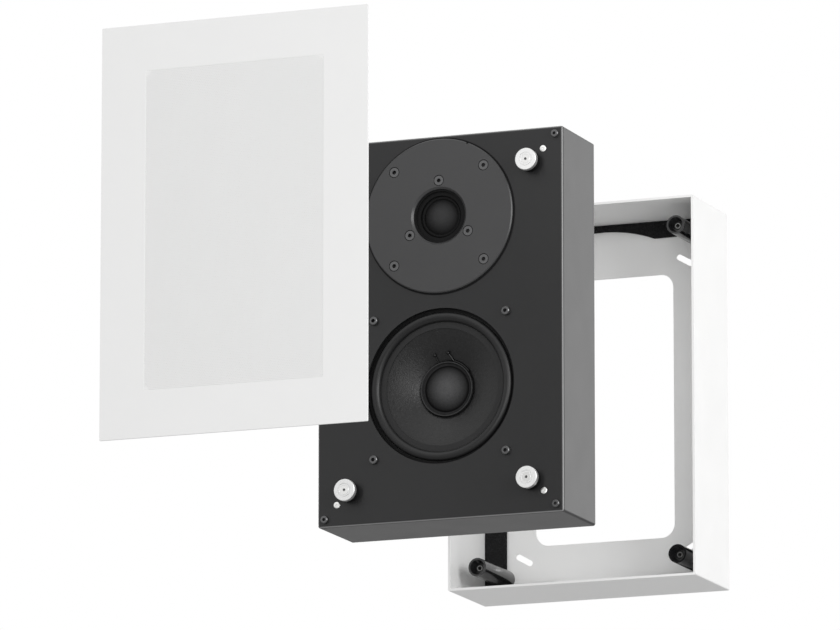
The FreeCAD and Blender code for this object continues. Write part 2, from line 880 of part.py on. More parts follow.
def terminal_nuts():
    """Nuts on the posts' tails, inside the cabinet."""
    front = deep(cup_floor_front - nut_height)
    return [tube(nut_radius, terminal_tail_radius + screw_play, front, deep(cup_floor_front), x, cup_z())
            for x in terminal_places_x]


def terminal_cap(x):
    """Fluted cap that turns on a binding post and clamps a bare wire."""
    front = deep(cup_floor_back + terminal_base + wire_gap)
    back = deep(cup_floor_back + terminal_length)
    cap = tube(cap_radius, terminal_radius + cap_play, front, back, x, cup_z())
    flutes = [(x + px, pz) for px, pz in ring(cap_radius, cap_flutes, 0, cup_z())]
    return cut_all(cap, [rod(flute_radius, front, back, px, pz) for px, pz in flutes])


# Crossover

board_parts = (2 * coil_radii[0], capacitor_length, 2 * coil_radii[1], resistor_width)
board_width = 2 * board_end + sum(board_parts) + part_gap * (len(board_parts) - 1)
board_back = rear_inside - standoff_height
board_front = board_back - board_thickness
board_z = board_floor + board_height / 2 + cabinet_sheet - half_height
board_corners = corners(board_width / 2 - board_edge, board_height / 2 - board_edge)
standoff_places = [(x, board_z + z) for x, z in board_corners]


def board_place(index):
    """X of a part on the board, in the row from left to right with one gap between each two."""
    before = sum(board_parts[:index]) + part_gap * index
    return board_end + before + board_parts[index] / 2 - board_width / 2


def board_screw(place, play=0.0):
    return screw(place, deep(board_front), 1, board_head, board_head_height, small_shank,
                 board_thickness + standoff_height - screw_end, play)


def crossover_board():
    half = board_height / 2
    board = box(-board_width / 2, board_width / 2, deep(board_front), deep(board_back),
                board_z - half, board_z + half)
    return cut_all(board, [board_screw(place, screw_play) for place in standoff_places])


def board_standoffs():
    bore = small_shank + screw_play
    return [tube(standoff_radius, bore, deep(board_back), deep(rear_inside), x, z)
            for x, z in standoff_places]


def crossover_coils():
    """Air coils, wound flat on the board."""
    front = deep(board_front - coil_height)
    places = (board_place(0), board_place(2))
    return [tube(radius, radius * coil_bore_share, front, deep(board_front), x, board_z)
            for x, radius in zip(places, coil_radii)]


def crossover_capacitors():
    """Two round capacitors lying on the board, flattened where they are glued down."""
    solids = []
    lift = capacitor_radius - capacitor_flat
    for side in (-1, 1):
        z = board_z + side * capacitor_pitch / 2
        start = vec(board_place(1) - capacitor_length / 2, deep(board_front - lift), z)
        can = Part.makeCylinder(capacitor_radius, capacitor_length, start, vec(1, 0, 0))
        flat = box(-board_width, board_width, deep(board_front), deep(board_back),
                   z - board_height, z + board_height)
        solids.append(can.cut(flat))
    return solids


def crossover_resistor():
    half = resistor_width / 2
    x = board_place(3)
    return box(x - half, x + half, deep(board_front - resistor_width), deep(board_front),
               board_z - resistor_length / 2, board_z + resistor_length / 2)


# Tags of the drivers, and the wires between them, the crossover and the terminals

tail_end = cup_floor_back - terminal_tail
woofer_tag_z = woofer_z - rim_radius + tag_inset
tweeter_tag_z = tweeter_z - (chamber_radius + tweeter_yoke_radius) / 2
wire_foot_z = board_z + board_height / 2 - wire_edge
input_x = woofer_magnet_radius + wire_pitch
tweeter_x = input_x + wire_pitch


def tag(front, z):
    """Flat solder tag strip that stands on the back of a driver."""
    return box(-tag_width / 2, tag_width / 2, deep(front), deep(front + tag_length),
               z - tag_thickness / 2, z + tag_thickness / 2)


def woofer_tag():
    return tag(rim_back, woofer_tag_z)


def tweeter_tag():
    return tag(tweeter_yoke_back, tweeter_tag_z)


def wire(*route):
    """Wire along a route of points (x, depth, z), with every corner of the route rounded."""
    points = [vec(x, deep(depth), z) for x, depth, z in route]
    edges = []
    here = points[0]
    for corner, after in zip(points[1:-1], points[2:]):
        back = (here - corner).normalize()
        on = (after - corner).normalize()
        start = corner + back * wire_bend
        end = corner + on * wire_bend
        middle = corner + (back + on) * (wire_bend * (1 - sqrt(0.5)))
        edges.append(Part.makeLine(here, start))
        edges.append(Part.Arc(start, middle, end).toShape())
        here = end
    edges.append(Part.makeLine(here, points[-1]))
    section = Part.Wire(Part.makeCircle(wire_radius, points[0], points[1] - points[0]))
    return Part.Wire(edges).makePipeShell([section], True, True)


def input_wires():
    """From the tails of the binding posts, past the woofer's magnet, to the crossover."""
    solids = []
    depth = tail_end - wire_lead
    for x, side in zip(terminal_places_x, (-1, 1)):
        column = side * input_x
        solids.append(wire((x, tail_end, cup_z()), (x, depth, cup_z()), (column, depth, cup_z()),
                           (column, depth, wire_foot_z), (column, board_front, wire_foot_z)))
    return solids


def tweeter_wires():
    """From the tweeter's tag, beside the input wires, to the crossover."""
    solids = []
    start = tweeter_yoke_back + tag_length
    depth = start + wire_lead
    for side in (-1, 1):
        x = side * wire_pitch / 2
        column = side * tweeter_x
        solids.append(wire((x, start, tweeter_tag_z), (x, depth, tweeter_tag_z),
                           (column, depth, tweeter_tag_z), (column, depth, wire_foot_z),
                           (column, board_front, wire_foot_z)))
    return solids


def woofer_wires():
    """From the woofer's tag back to the crossover."""
    start = rim_back + tag_length
    depth = start + wire_lead
    return [wire((x, start, woofer_tag_z), (x, depth, woofer_tag_z), (x, depth, wire_foot_z),
                 (x, board_front, wire_foot_z)) for x in (-wire_pitch / 2, wire_pitch / 2)]


# Damping

def damping_pad():
    """Foam pad on the rear panel, behind the tweeter."""
    half = pad_height / 2
    return box(-pad_width / 2, pad_width / 2, deep(rear_inside - pad_thickness), deep(rear_inside),
               tweeter_z - half, tweeter_z + half)


# Wall frame

def slanted_slot(x, z):
    """Round-ended slot for a wall screw, tangential about the middle of the frame."""
    half = slot_length / 2 - slot_width / 2
    middle = box(-half, half, -frame_sheet, 0, -slot_width / 2, slot_width / 2)
    slot = middle.fuse(rod(slot_width / 2, -frame_sheet, 0, -half, 0))
    slot = slot.fuse(rod(slot_width / 2, -frame_sheet, 0, half, 0)).removeSplitter()
    slot.rotate(vec(0, 0, 0), vec(0, 1, 0), slot_tilt if x * z > 0 else -slot_tilt)
    slot.translate(vec(x, 0, z))
    return slot


def wall_frame():
    """Back plate and four walls, folded from one sheet, open to the front."""
    outer = box(-frame_half_width, frame_half_width, frame_front, 0, -frame_half_height, frame_half_height)
    outer = outer.makeFillet(frame_corner_radius, edges_along_y(outer))
    inner_x = frame_half_width - frame_sheet
    inner_z = frame_half_height - frame_sheet
    tools = [box(-inner_x, inner_x, frame_front, -frame_sheet, -inner_z, inner_z)]
    tools.append(rounded_plate(frame_half_width - cutout_side_margin, frame_half_height - cutout_end_margin,
                               cutout_corner, -frame_sheet, 0))
    slots = corners(frame_half_width - slot_inset, frame_half_height - slot_inset)
    tools += [slanted_slot(x, z) for x, z in slots]
    tools += [post_screw(place, screw_play) for place in post_places]
    return cut_all(outer, tools)


def foam_gasket():
    """Foam strips on the back plate, with a shallow arc cut into the top and bottom strip."""
    front = -frame_sheet - gasket_thickness
    outer_x = frame_half_width - frame_sheet - foam_play
    outer_z = frame_half_height - frame_sheet - foam_play
    inner_x = frame_half_width - frame_sheet - gasket_side_reach
    inner_z = frame_half_height - frame_sheet - gasket_end_reach
    sheet = box(-outer_x, outer_x, front, -frame_sheet, -outer_z, outer_z)
    tools = [box(-inner_x, inner_x, front, -frame_sheet, -inner_z, inner_z)]
    for side in (-1, 1):
        centre = side * (inner_z + notch_rise - notch_radius)
        strip = box(-inner_x, inner_x, front, -frame_sheet, *sorted((side * inner_z, side * outer_z)))
        tools.append(rod(notch_radius, front, -frame_sheet, 0, centre).common(strip))
    tools += [rod(post_radius + foam_play, front, -frame_sheet, x, z) for x, z in post_places]
    return cut_all(sheet, tools)


def frame_post(place):
    """Post with a funnel at its front end that leads a screw into the threaded insert."""
    x, z = place
    back = -frame_sheet
    insert_front = post_front + funnel_depth
    insert_back = insert_front + insert_length
    foot = back - spacer_thread - screw_end
    bore = large_shank + screw_play
    return turned((bore, back), (post_radius, back), (post_radius, post_front), (funnel_radius, post_front),
                  (insert_radius, insert_front), (insert_radius, insert_back), (bore, insert_back),
                  (bore, foot), x=x, z=z)


def post_inserts():
    """Threaded inserts at the bottom of the funnels."""
    front = post_front + funnel_depth
    bore = small_shank + insert_play
    return [tube(insert_radius, bore, front, front + insert_length, x, z) for x, z in post_places]


# Grille

def grille_panel():
    """Flat steel sheet, with the field of its fine perforation set back by a hair."""
    front = grille_back - grille_sheet
    panel = rounded_plate(frame_half_width, frame_half_height, grille_corner, front, grille_back)
    x = frame_half_width - field_side_margin
    z = frame_half_height - field_end_margin
    return panel.cut(box(-x, x, front, front + field_recess, -z, z))


def grille_cloth():
    """Thin cloth glued behind the perforated field, clear of the magnets at its corners."""
    x = frame_half_width - field_side_margin + cloth_overlap
    z = frame_half_height - field_end_margin + cloth_overlap
    back = grille_back + cloth_thickness
    cloth = box(-x, x, grille_back, back, -z, z)
    rests = [rod(disc_radius + cloth_relief, grille_back, back, *place) for place in magnet_places]
    return cut_all(cloth, rests)


def main():
    os.makedirs("parts", exist_ok=True)

    save("grille_panel", grille_panel())
    save("grille_cloth", grille_cloth())

    save("cabinet_shell", cabinet_shell())
    save("rear_panel", rear_panel())
    save("post_sleeves", *post_sleeves())
    save("corner_spacers", *corner_spacers())
    save("corner_screws", *[corner_screw(place) for place in corner_places])
    save("rear_screws", *[rear_screw(place) for place in corner_places])
    save("cabinet_screws", *[cabinet_screw(place) for place in post_places])
    save("magnet_pillars", *magnet_pillars())
    save("pot_magnets", *pot_magnets())
    save("magnet_screws", *[magnet_screw(place) for place in magnet_places])
    save("baffle_nuts", *baffle_nuts())

    save("tweeter_plate", tweeter_plate())
    save("plate_screws", *[face_screw(place, plate_screw_reach) for place in plate_screw_places])
    save("tweeter_screws", *[face_screw(place, tweeter_screw_reach) for place in tweeter_screw_places])
    save("plate_nuts", *plate_nuts())
    save("tweeter_face", tweeter_face())
    save("tweeter_dome", tweeter_dome())
    save("tweeter_coil", tweeter_coil())
    save("tweeter_top_plate", tweeter_top_plate())
    save("tweeter_magnet", tweeter_magnet())
    save("tweeter_yoke", tweeter_yoke())
    save("tweeter_chamber", tweeter_chamber())

    save("woofer_gasket", woofer_gasket())
    save("woofer_basket", woofer_basket())
    save("woofer_surround", woofer_surround())
    save("woofer_cone", woofer_cone())
    save("dust_cap", dust_cap())
    save("woofer_coil", woofer_coil())
    save("woofer_spider", woofer_spider())
    save("woofer_top_plate", woofer_top_plate())
    save("woofer_magnet", woofer_magnet())
    save("woofer_yoke", woofer_yoke())
    save("woofer_screws", *[woofer_screw(place) for place in woofer_screw_places])
    save("cone_leads", *cone_leads())

    save("terminal_cup", terminal_cup())
    save("cup_screws", *[cup_screw(place) for place in cup_screw_places()])
    save("binding_posts", *binding_posts())
    save("terminal_nuts", *terminal_nuts())
    save("red_cap", terminal_cap(terminal_places_x[0]))
    save("black_cap", terminal_cap(terminal_places_x[1]))

    save("crossover_board", crossover_board())
    save("board_standoffs", *board_standoffs())
    save("board_screws", *[board_screw(place) for place in standoff_places])
    save("crossover_coils", *crossover_coils())
    save("crossover_capacitors", *crossover_capacitors())
    save("crossover_resistor", crossover_resistor())
    save("woofer_tag", woofer_tag())
    save("tweeter_tag", tweeter_tag())
    save("input_wires", *input_wires())
    save("tweeter_wires", *tweeter_wires())
    save("woofer_wires", *woofer_wires())
    save("damping_pad", damping_pad())

    save("wall_frame", wall_frame())
    save("foam_gasket", foam_gasket())
    save("frame_posts", *[frame_post(place) for place in post_places])
    save("post_inserts", *post_inserts())
    save("post_screws", *[post_screw(place) for place in post_places])


main()
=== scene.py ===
import json
import logging
import math
from dataclasses import dataclass
from enum import Enum
from typing import Optional, Sequence, Union

import bmesh
import bpy
from mathutils import Matrix, Vector

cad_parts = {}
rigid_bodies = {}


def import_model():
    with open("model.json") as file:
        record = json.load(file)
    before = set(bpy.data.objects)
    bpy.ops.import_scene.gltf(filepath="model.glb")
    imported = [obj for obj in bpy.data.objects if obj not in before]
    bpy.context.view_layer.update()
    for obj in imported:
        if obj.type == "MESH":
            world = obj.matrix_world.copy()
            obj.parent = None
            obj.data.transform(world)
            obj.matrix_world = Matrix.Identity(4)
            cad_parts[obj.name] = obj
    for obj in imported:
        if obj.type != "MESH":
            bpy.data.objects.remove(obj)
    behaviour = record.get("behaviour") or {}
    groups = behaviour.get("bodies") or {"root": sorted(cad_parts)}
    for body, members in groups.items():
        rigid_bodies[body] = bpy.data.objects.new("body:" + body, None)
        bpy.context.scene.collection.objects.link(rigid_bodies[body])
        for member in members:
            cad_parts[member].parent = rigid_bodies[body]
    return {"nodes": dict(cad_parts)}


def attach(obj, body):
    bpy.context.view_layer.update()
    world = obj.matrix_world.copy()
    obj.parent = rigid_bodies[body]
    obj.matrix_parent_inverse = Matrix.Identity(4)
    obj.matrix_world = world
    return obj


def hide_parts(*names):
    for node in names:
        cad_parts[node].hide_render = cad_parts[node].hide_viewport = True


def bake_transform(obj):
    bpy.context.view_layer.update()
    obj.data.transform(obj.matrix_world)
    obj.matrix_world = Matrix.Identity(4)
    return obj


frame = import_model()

LOG = logging.getLogger("loudspeaker")
MM = 0.001
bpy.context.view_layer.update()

Point = tuple[float, float]
Place = tuple[float, float, float]
Socket = bpy.types.NodeSocket
Feed = Union[Socket, float, int, bool, tuple, str]

# The y of the cabinet's front, in millimetres
FRONT = -384.3
# Middles as x and z, in millimetres
TWEETER: Point = (0.0, 92.0)
WOOFER: Point = (0.0, -48.5)
TERMINALS: Point = (0.0, 28.0)
# Places that all four corners share, as x and z from the middle, in millimetres
CORNERS: Point = (100.5, 152.5)
POSTS: Point = (90.0, 141.0)
MAGNETS: Point = (79.0, 131.0)


class Grain(Enum):
    """The fine surface that a finish shows from close by."""

    POWDER = "powder"
    BRUSHED = "brushed"
    WEAVE = "weave"
    FIBRE = "fibre"
    FOAM = "foam"
    MOULDED = "moulded"
    TURNED = "turned"


class Facing(Enum):
    """The side of the loudspeaker that a shape looks to, as its turn about the x axis."""

    FRONT = math.radians(90)
    REAR = math.radians(-90)


class Head(Enum):
    """The form of a screw's head."""

    BUTTON = "button"
    SUNK = "sunk"


class Body(Enum):
    """The moving bodies that carry pieces of this scene."""

    MOUNT = "mounting_frame"
    CABINET = "cabinet"
    GRILLE = "grille"
    DIAPHRAGM = "diaphragm"


class NodeWriter:
    """Fills a node tree node by node."""

    def __init__(self, tree: bpy.types.NodeTree) -> None:
        """Takes the tree to fill."""
        self.tree = tree

    def feed(self, socket: Socket, value: Feed) -> None:
        """Links an input to another socket, or sets its own value.

        Args:
            socket: The input to fill.
            value: An output socket, or a plain value.
        """
        if isinstance(value, Socket):
            self.tree.links.new(value, socket)
        else:
            socket.default_value = value

    def add(self, kind: str, sockets: Optional[dict] = None, **settings: Union[str, bool]) -> bpy.types.Node:
        """Adds a node.

        Args:
            kind: The node's type name.
            sockets: What each input, by name or number, is fed with.
            settings: The node's own properties, set before its inputs.

        Returns:
            The new node.
        """
        node = self.tree.nodes.new(kind)
        for key, value in settings.items():
            setattr(node, key, value)
        for key, value in (sockets or {}).items():
            self.feed(node.inputs[key], value)
        return node

    def maths(self, operation: str, *values: Feed) -> Socket:
        """Adds a sum of numbers."""
        return self.add("ShaderNodeMath", dict(enumerate(values)), operation=operation).outputs[0]

    def vector(self, operation: str, *values: Feed) -> Socket:
        """Adds a sum of vectors, or the length of one."""
        node = self.add("ShaderNodeVectorMath", dict(enumerate(values)), operation=operation)
        return node.outputs["Value" if operation == "LENGTH" else "Vector"]


@dataclass(frozen=True)
class PaintedShadeRings:
    """Shares of a round piece's colour by radius, in millimetres, which paint light and shade into it."""

    centre: Point
    stops: tuple[Point, ...]
    mirrored: bool = False


@dataclass(frozen=True)
class Finish:
    """A finish of the loudspeaker with its grain; lengths are in millimetres, colours are linear."""

    name: str
    slot: str
    colour: tuple[float, float, float]
    roughness: float
    grain: Grain
    size: float
    depth: float
    metal: float = 0.0
    mottle: float = 0.06
    spread: float = 0.05
    coat: float = 0.0
    sheen: float = 0.0
    specular: float = 0.5
    # Painted light and shade by radius, where the finish has any
    rings: Optional[PaintedShadeRings] = None
    # How much paler the colour is painted along bends, as a painted highlight
    bend_highlight: float = 0.0


class Coat(NodeWriter):
    """Writes a finish as a procedural material on the object's own coordinates.

    CLOUD is the size of its broad patches in millimetres, and WAVE_SCALE makes a thread of a weave as wide
    as the finish says.
    """

    CLOUD = 28.0
    COAT_ROUGHNESS = 0.06
    SHEEN_ROUGHNESS = 0.5
    WAVE_SCALE = 0.314

    def __init__(self, finish: Finish) -> None:
        """Writes the material with its grain, mottle and uneven gloss, and with any painted light and shade
        that the finish asks for.

        Args:
            finish: The finish to write.
        """
        self.finish = finish
        self.material = bpy.data.materials.new(finish.name)
        self.material.use_nodes = True
        super().__init__(self.material.node_tree)
        self.place = self.add("ShaderNodeTexCoord").outputs["Object"]
        height, broad = self.height(), self.noise(self.place, self.CLOUD, 3.0)
        patchy = finish.grain in (Grain.WEAVE, Grain.FIBRE, Grain.FOAM)
        streaky = finish.grain in (Grain.BRUSHED, Grain.TURNED)
        ramp = self.add("ShaderNodeValToRGB", {"Fac": height if patchy else broad})
        for stop, shift in zip(ramp.color_ramp.elements, (1 - finish.mottle, 1 + finish.mottle)):
            stop.color = (*(min(channel * shift, 1.0) for channel in finish.colour), 1.0)
        gloss = self.add("ShaderNodeMapRange", {
            "Value": height if streaky else broad, "From Min": 0.25, "From Max": 0.75,
            "To Min": max(finish.roughness - finish.spread, 0.02),
            "To Max": min(finish.roughness + finish.spread, 1.0)})
        bump = self.add("ShaderNodeBump", {"Strength": 1.0, "Distance": finish.depth * MM, "Height": height})
        shader = self.tree.nodes["Principled BSDF"]
        for name, value in (
                ("Base Color", self.paint_bend_highlight(self.paint_ring_shade(ramp.outputs["Color"]))),
                ("Roughness", gloss.outputs["Result"]), ("Normal", bump.outputs["Normal"]),
                ("Metallic", finish.metal), ("Specular IOR Level", finish.specular),
                ("Coat Weight", finish.coat), ("Coat Roughness", self.COAT_ROUGHNESS),
                ("Sheen Weight", finish.sheen), ("Sheen Roughness", self.SHEEN_ROUGHNESS)):
            self.feed(shader.inputs[name], value)

    def paint_ring_shade(self, colour: Socket) -> Socket:
        """Paints light and shade into the colour of a round piece ring by ring, where the finish has rings.

        Args:
            colour: The colour so far.

        Returns:
            The colour with its painted light and shade.
        """
        rings = self.finish.rings
        if rings is None:
            return colour
        x, z = rings.centre
        place = self.vector("ABSOLUTE", self.place) if rings.mirrored else self.place
        away = self.vector("ADD", place, (-x * MM, 0.0, -z * MM))
        radius = self.vector("LENGTH", self.vector("MULTIPLY", away, (1.0, 0.0, 1.0)))
        reach = rings.stops[-1][0]
        share = self.add("ShaderNodeMapRange", {"Value": radius, "From Max": reach * MM})
        ramp = self.add("ShaderNodeValToRGB", {"Fac": share.outputs["Result"]})
        stops = ramp.color_ramp.elements
        stops.remove(stops[-1])
        for step, (distance, level) in enumerate(rings.stops):
            stop = stops.new(distance / reach) if step else stops[0]
            stop.color = (level, level, level, 1.0)
        return self.vector("MULTIPLY", colour, ramp.outputs["Color"])

    def paint_bend_highlight(self, colour: Socket) -> Socket:
        """Paints a highlight into the colour where the sheet turns from its front to its sides.

        Args:
            colour: The colour so far.

        Returns:
            The colour with its painted bend highlight, where the finish has one.
        """
        if not self.finish.bend_highlight:
            return colour
        normal = self.add("ShaderNodeSeparateXYZ", {0: self.add("ShaderNodeNewGeometry").outputs["Normal"]})
        across = self.maths("MULTIPLY", normal.outputs["Y"], normal.outputs["Y"])
        slope = self.maths("ABSOLUTE", self.maths("SUBTRACT", across, 0.5))
        share = self.add("ShaderNodeMapRange", {
            "Value": slope, "From Min": 0.05, "From Max": 0.45, "To Min": self.finish.bend_highlight, "To Max": 0.0})
        return self.vector("ADD", colour, share.outputs["Result"])

    def noise(self, place: Socket, size: float, detail: float, bend: float = 0.0) -> Socket:
        """Adds clouds of a size in millimetres, with finer layers and a twist, whose value is 0 to 1."""
        return self.add("ShaderNodeTexNoise", {
            "Vector": place, "Scale": 1 / (size * MM), "Detail": detail, "Distortion": bend}).outputs["Fac"]

    def height(self) -> Socket:
        """Adds the grain itself.

        Returns:
            The grain's height from 0 to 1.
        """
        grain, size = self.finish.grain, self.finish.size
        if grain is Grain.WEAVE:
            threads = {"Vector": self.place, "Scale": self.WAVE_SCALE / (size * MM), "Distortion": 0.6,
                       "Detail": 1.0, "Detail Scale": 2.0}
            return self.maths("MAXIMUM", *[
                self.add("ShaderNodeTexWave", threads, bands_direction=direction).outputs["Fac"]
                for direction in ("X", "Z")])
        if grain is Grain.FOAM:
            cells = self.add("ShaderNodeTexVoronoi", {"Vector": self.place, "Scale": 1 / (size * MM)})
            return cells.outputs["Distance"]
        if grain is Grain.TURNED:
            radius = self.add("ShaderNodeAttribute", attribute_name=DiscTree.MARK).outputs["Fac"]
            wave = self.maths("SINE", self.maths("MULTIPLY", radius, math.tau / (size * MM)))
            return self.maths("MULTIPLY_ADD", wave, 0.5, 0.5)
        if grain is Grain.BRUSHED:
            drawn = self.add("ShaderNodeMapping", {"Vector": self.place, "Scale": (0.05, 1.0, 1.0)})
            return self.noise(drawn.outputs["Vector"], size, 2.0)
        if grain is Grain.FIBRE:
            return self.noise(self.place, size, 6.0, 1.4)
        return self.noise(self.place, size, 2.0 if grain is Grain.POWDER else 1.0)


FINISHES = (
    Finish("white_powder_coat", "white_paint", (0.84, 0.84, 0.835), 0.42, Grain.POWDER, 0.6, 0.012,
           mottle=0.012),
    Finish("white_grille_cloth", "white_cloth", (0.74, 0.74, 0.735), 0.9, Grain.WEAVE, 0.5, 0.08, sheen=0.3),
    # The black coat has a painted highlight along its bends
    Finish("black_powder_coat", "black_paint", (0.009, 0.009, 0.0094), 0.36, Grain.POWDER, 0.5, 0.01,
           mottle=0.04, spread=0.012, specular=0.42, bend_highlight=0.22),
    Finish("black_plate_coat", "plate_black", (0.035, 0.035, 0.0359), 0.4, Grain.POWDER, 0.4, 0.008,
           mottle=0.05, spread=0.02),
    Finish("blackened_steel", "black_steel", (0.12, 0.12, 0.122), 0.34, Grain.BRUSHED, 0.3, 0.004,
           metal=0.9),
    Finish("zinc_plated_steel", "zinc_steel", (0.78, 0.78, 0.77), 0.36, Grain.BRUSHED, 0.3, 0.004,
           metal=1.0),
    Finish("nickel_plate", "nickel", (0.76, 0.76, 0.757), 0.5, Grain.TURNED, 1.2, 0.004, metal=1.0,
           mottle=0.02, spread=0.03),
    Finish("black_rubber_skin", "black_rubber", (0.008, 0.008, 0.0083), 0.4, Grain.MOULDED, 0.4, 0.012,
           mottle=0.15, specular=0.36),
    Finish("black_cell_foam", "black_foam", (0.012, 0.012, 0.0125), 0.95, Grain.FOAM, 1.1, 0.5, mottle=0.8,
           specular=0.2),
    Finish("grey_cell_foam", "grey_foam", (0.16, 0.16, 0.165), 0.95, Grain.FOAM, 1.6, 0.6, mottle=0.4),
    Finish("black_cone_paper", "cone_paper", (0.008, 0.008, 0.0082), 0.34, Grain.FIBRE, 2.2, 0.3, mottle=0.9,
           specular=0.36),
    Finish("black_dome_cloth", "black_cloth", (0.034, 0.034, 0.0347), 0.7, Grain.WEAVE, 0.35, 0.03,
           mottle=0.3, specular=0.12),
    Finish("resin_cloth", "spider_cloth", (0.42, 0.25, 0.1), 0.75, Grain.WEAVE, 0.6, 0.06, mottle=0.2),
    Finish("copper_wire", "copper", (0.72, 0.34, 0.17), 0.3, Grain.BRUSHED, 0.4, 0.03, metal=1.0),
    Finish("ferrite_block", "ferrite", (0.05, 0.05, 0.052), 0.55, Grain.POWDER, 0.8, 0.03, mottle=0.2),
    Finish("black_moulding", "black_plastic", (0.02, 0.02, 0.021), 0.46, Grain.MOULDED, 0.35, 0.012,
           mottle=0.1),
    Finish("gloss_black_moulding", "gloss_black", (0.008, 0.008, 0.0085), 0.2, Grain.MOULDED, 2.5, 0.006,
           coat=0.3, mottle=0.1),
    Finish("red_moulding", "red_plastic", (0.42, 0.012, 0.012), 0.22, Grain.MOULDED, 1.5, 0.01, coat=0.4),
    Finish("turned_brass", "brass", (0.8, 0.58, 0.26), 0.24, Grain.BRUSHED, 0.3, 0.005, metal=1.0),
    Finish("green_board", "board_green", (0.02, 0.12, 0.05), 0.38, Grain.WEAVE, 0.9, 0.01, mottle=0.12,
           coat=0.3),
    Finish("film_capacitor", "capacitor_film", (0.55, 0.34, 0.03), 0.35, Grain.MOULDED, 2.0, 0.05, coat=0.3),
    Finish("white_ceramic", "resistor_ceramic", (0.74, 0.73, 0.69), 0.8, Grain.POWDER, 0.7, 0.05),
)

DULL_BLACK = Finish("dull_black_moulding", "black_plastic", (0.006, 0.006, 0.0062), 0.6, Grain.MOULDED, 0.35,
                    0.01, mottle=0.1, specular=0.12)
# Painted light and shade on the dust cap: its dome lit in the middle and shaded towards its edge, a painted
# shadow in the groove round it, and a painted highlight line on the collar
CAP_PAINTED_LIGHT = PaintedShadeRings(WOOFER, (
    (0.0, 1.0), (5.0, 1.0), (12.0, 0.62), (17.0, 0.24), (18.4, 0.05), (19.0, 0.05), (19.5, 0.3), (21.5, 0.3),
    (21.8, 0.6), (22.4, 0.6), (22.47, 0.3), (24.0, 0.3)))
# Painted light and shade on the tweeter dome: lit in the middle and darker towards its edge
DOME_PAINTED_SHADE = PaintedShadeRings(TWEETER, ((0.0, 1.0), (4.0, 1.0), (10.0, 0.6), (15.0, 0.22), (24.0, 0.22)))
# Painted shade on the post inserts: much darker outside a small middle, as in the shade of the post's funnel
INSERT_PAINTED_SHADE = PaintedShadeRings(POSTS, ((0.0, 0.5), (2.15, 0.5), (2.3, 0.08), (4.0, 0.08)), mirrored=True)
# Solids that look different from the rest of their slot
OWN_FINISHES = {
    "grille_panel": Finish("white_grille_coat", "white_paint", (0.76, 0.76, 0.757), 0.46, Grain.POWDER, 0.6,
                           0.012, mottle=0.012),
    "tweeter_face": DULL_BLACK,
    "magnet_pillars": DULL_BLACK,
    "dust_cap": Finish("dust_cap_paper", "cone_paper", (0.072, 0.072, 0.0733), 0.8, Grain.FIBRE, 1.4, 0.05,
                       mottle=0.35, specular=0.06, rings=CAP_PAINTED_LIGHT),
    "tweeter_dome": Finish("dome_cloth", "black_cloth", (0.031, 0.031, 0.0317), 0.7, Grain.WEAVE, 0.35, 0.03,
                           mottle=0.3, specular=0.1, rings=DOME_PAINTED_SHADE),
    "cone_leads": Finish("black_lead_sleeve", "black_rubber", (0.003, 0.003, 0.0031), 0.28, Grain.MOULDED,
                         0.4, 0.006, mottle=0.1, specular=0.3),
    "post_inserts": Finish("dull_zinc", "zinc_steel", (0.7, 0.7, 0.69), 0.5, Grain.BRUSHED, 0.3, 0.004,
                           metal=1.0, rings=INSERT_PAINTED_SHADE),
}


class Palette:
    """The finishes by the record's slot, each written once."""

    def __init__(self) -> None:
        """Starts with no material written."""
        self.finishes = {finish.slot: finish for finish in FINISHES}
        self.made: dict[str, bpy.types.Material] = {}

    def coat(self, slot: str, node: str = "") -> bpy.types.Material:
        """Gives a slot's material, writing it when it is first asked for.

        Args:
            slot: The record's slot.
            node: The solid that it is for, which may have a finish of its own.

        Returns:
            The material.
        """
        finish = OWN_FINISHES.get(node, self.finishes[slot])
        if finish.name not in self.made:
            self.made[finish.name] = Coat(finish).material
        return self.made[finish.name]

    def dress_nodes(self) -> None:
        """Gives every solid of the frame its detailed finish."""
        for name in frame["nodes"]:
            for slot in bpy.data.objects[name].material_slots:
                slot.material = self.coat(slot.material.name, name)
            LOG.info("dressed %s", name)


PALETTE = Palette()


def smooth(mesh: bpy.types.Mesh, angle: float = 32.0) -> bpy.types.Mesh:
    """Shades a mesh smooth except at its edges.

    Args:
        mesh: The mesh to shade.
        angle: The bend in degrees from which an edge stays sharp.

    Returns:
        The same mesh.
    """
    mesh.shade_smooth()
    mesh.set_sharp_from_angle(angle=math.radians(angle))
    return mesh


def place_piece(name: str, mesh: bpy.types.Mesh, slot: str, body: Optional[Body], *nodes: str,
                like: str = "") -> bpy.types.Object:
    """Puts a finished mesh on its body in place of the solids that it stands for.

    Args:
        name: The piece's name.
        mesh: Its mesh, in metres in the shared frame.
        slot: The record's slot of its finish.
        body: The body that it rides on, or None, which leaves it on no body.
        nodes: The solids that it replaces.
        like: The solid whose own finish it has, where the mesh has none yet.

    Returns:
        The piece.
    """
    mesh.name = name
    if not mesh.materials:
        mesh.materials.append(PALETTE.coat(slot, like))
    piece = bpy.data.objects.new(name, mesh)
    bpy.context.scene.collection.objects.link(piece)
    if body is not None:
        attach(piece, body.value)
    if nodes:
        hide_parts(*nodes)
    LOG.info("built %s, %d faces", name, len(mesh.polygons))
    return piece


def four(x: float, z: float, middle: float = 0.0) -> tuple[Point, ...]:
    """Gives four places about a middle height."""
    return ((x, middle + z), (-x, middle + z), (-x, middle - z), (x, middle - z))


def ring(radius: float, count: int, first: float, centre: Point) -> tuple[Point, ...]:
    """Gives places on a circle, the first at an angle in degrees from the x axis."""
    turns = [math.radians(first + 360 * step / count) for step in range(count)]
    return tuple((centre[0] + radius * math.cos(turn), centre[1] + radius * math.sin(turn))
                 for turn in turns)


def seats(places: Sequence[Point], y: float) -> list[Vector]:
    """Gives points in metres for places in one plane."""
    return [Vector((x, y, z)) * MM for x, z in places]


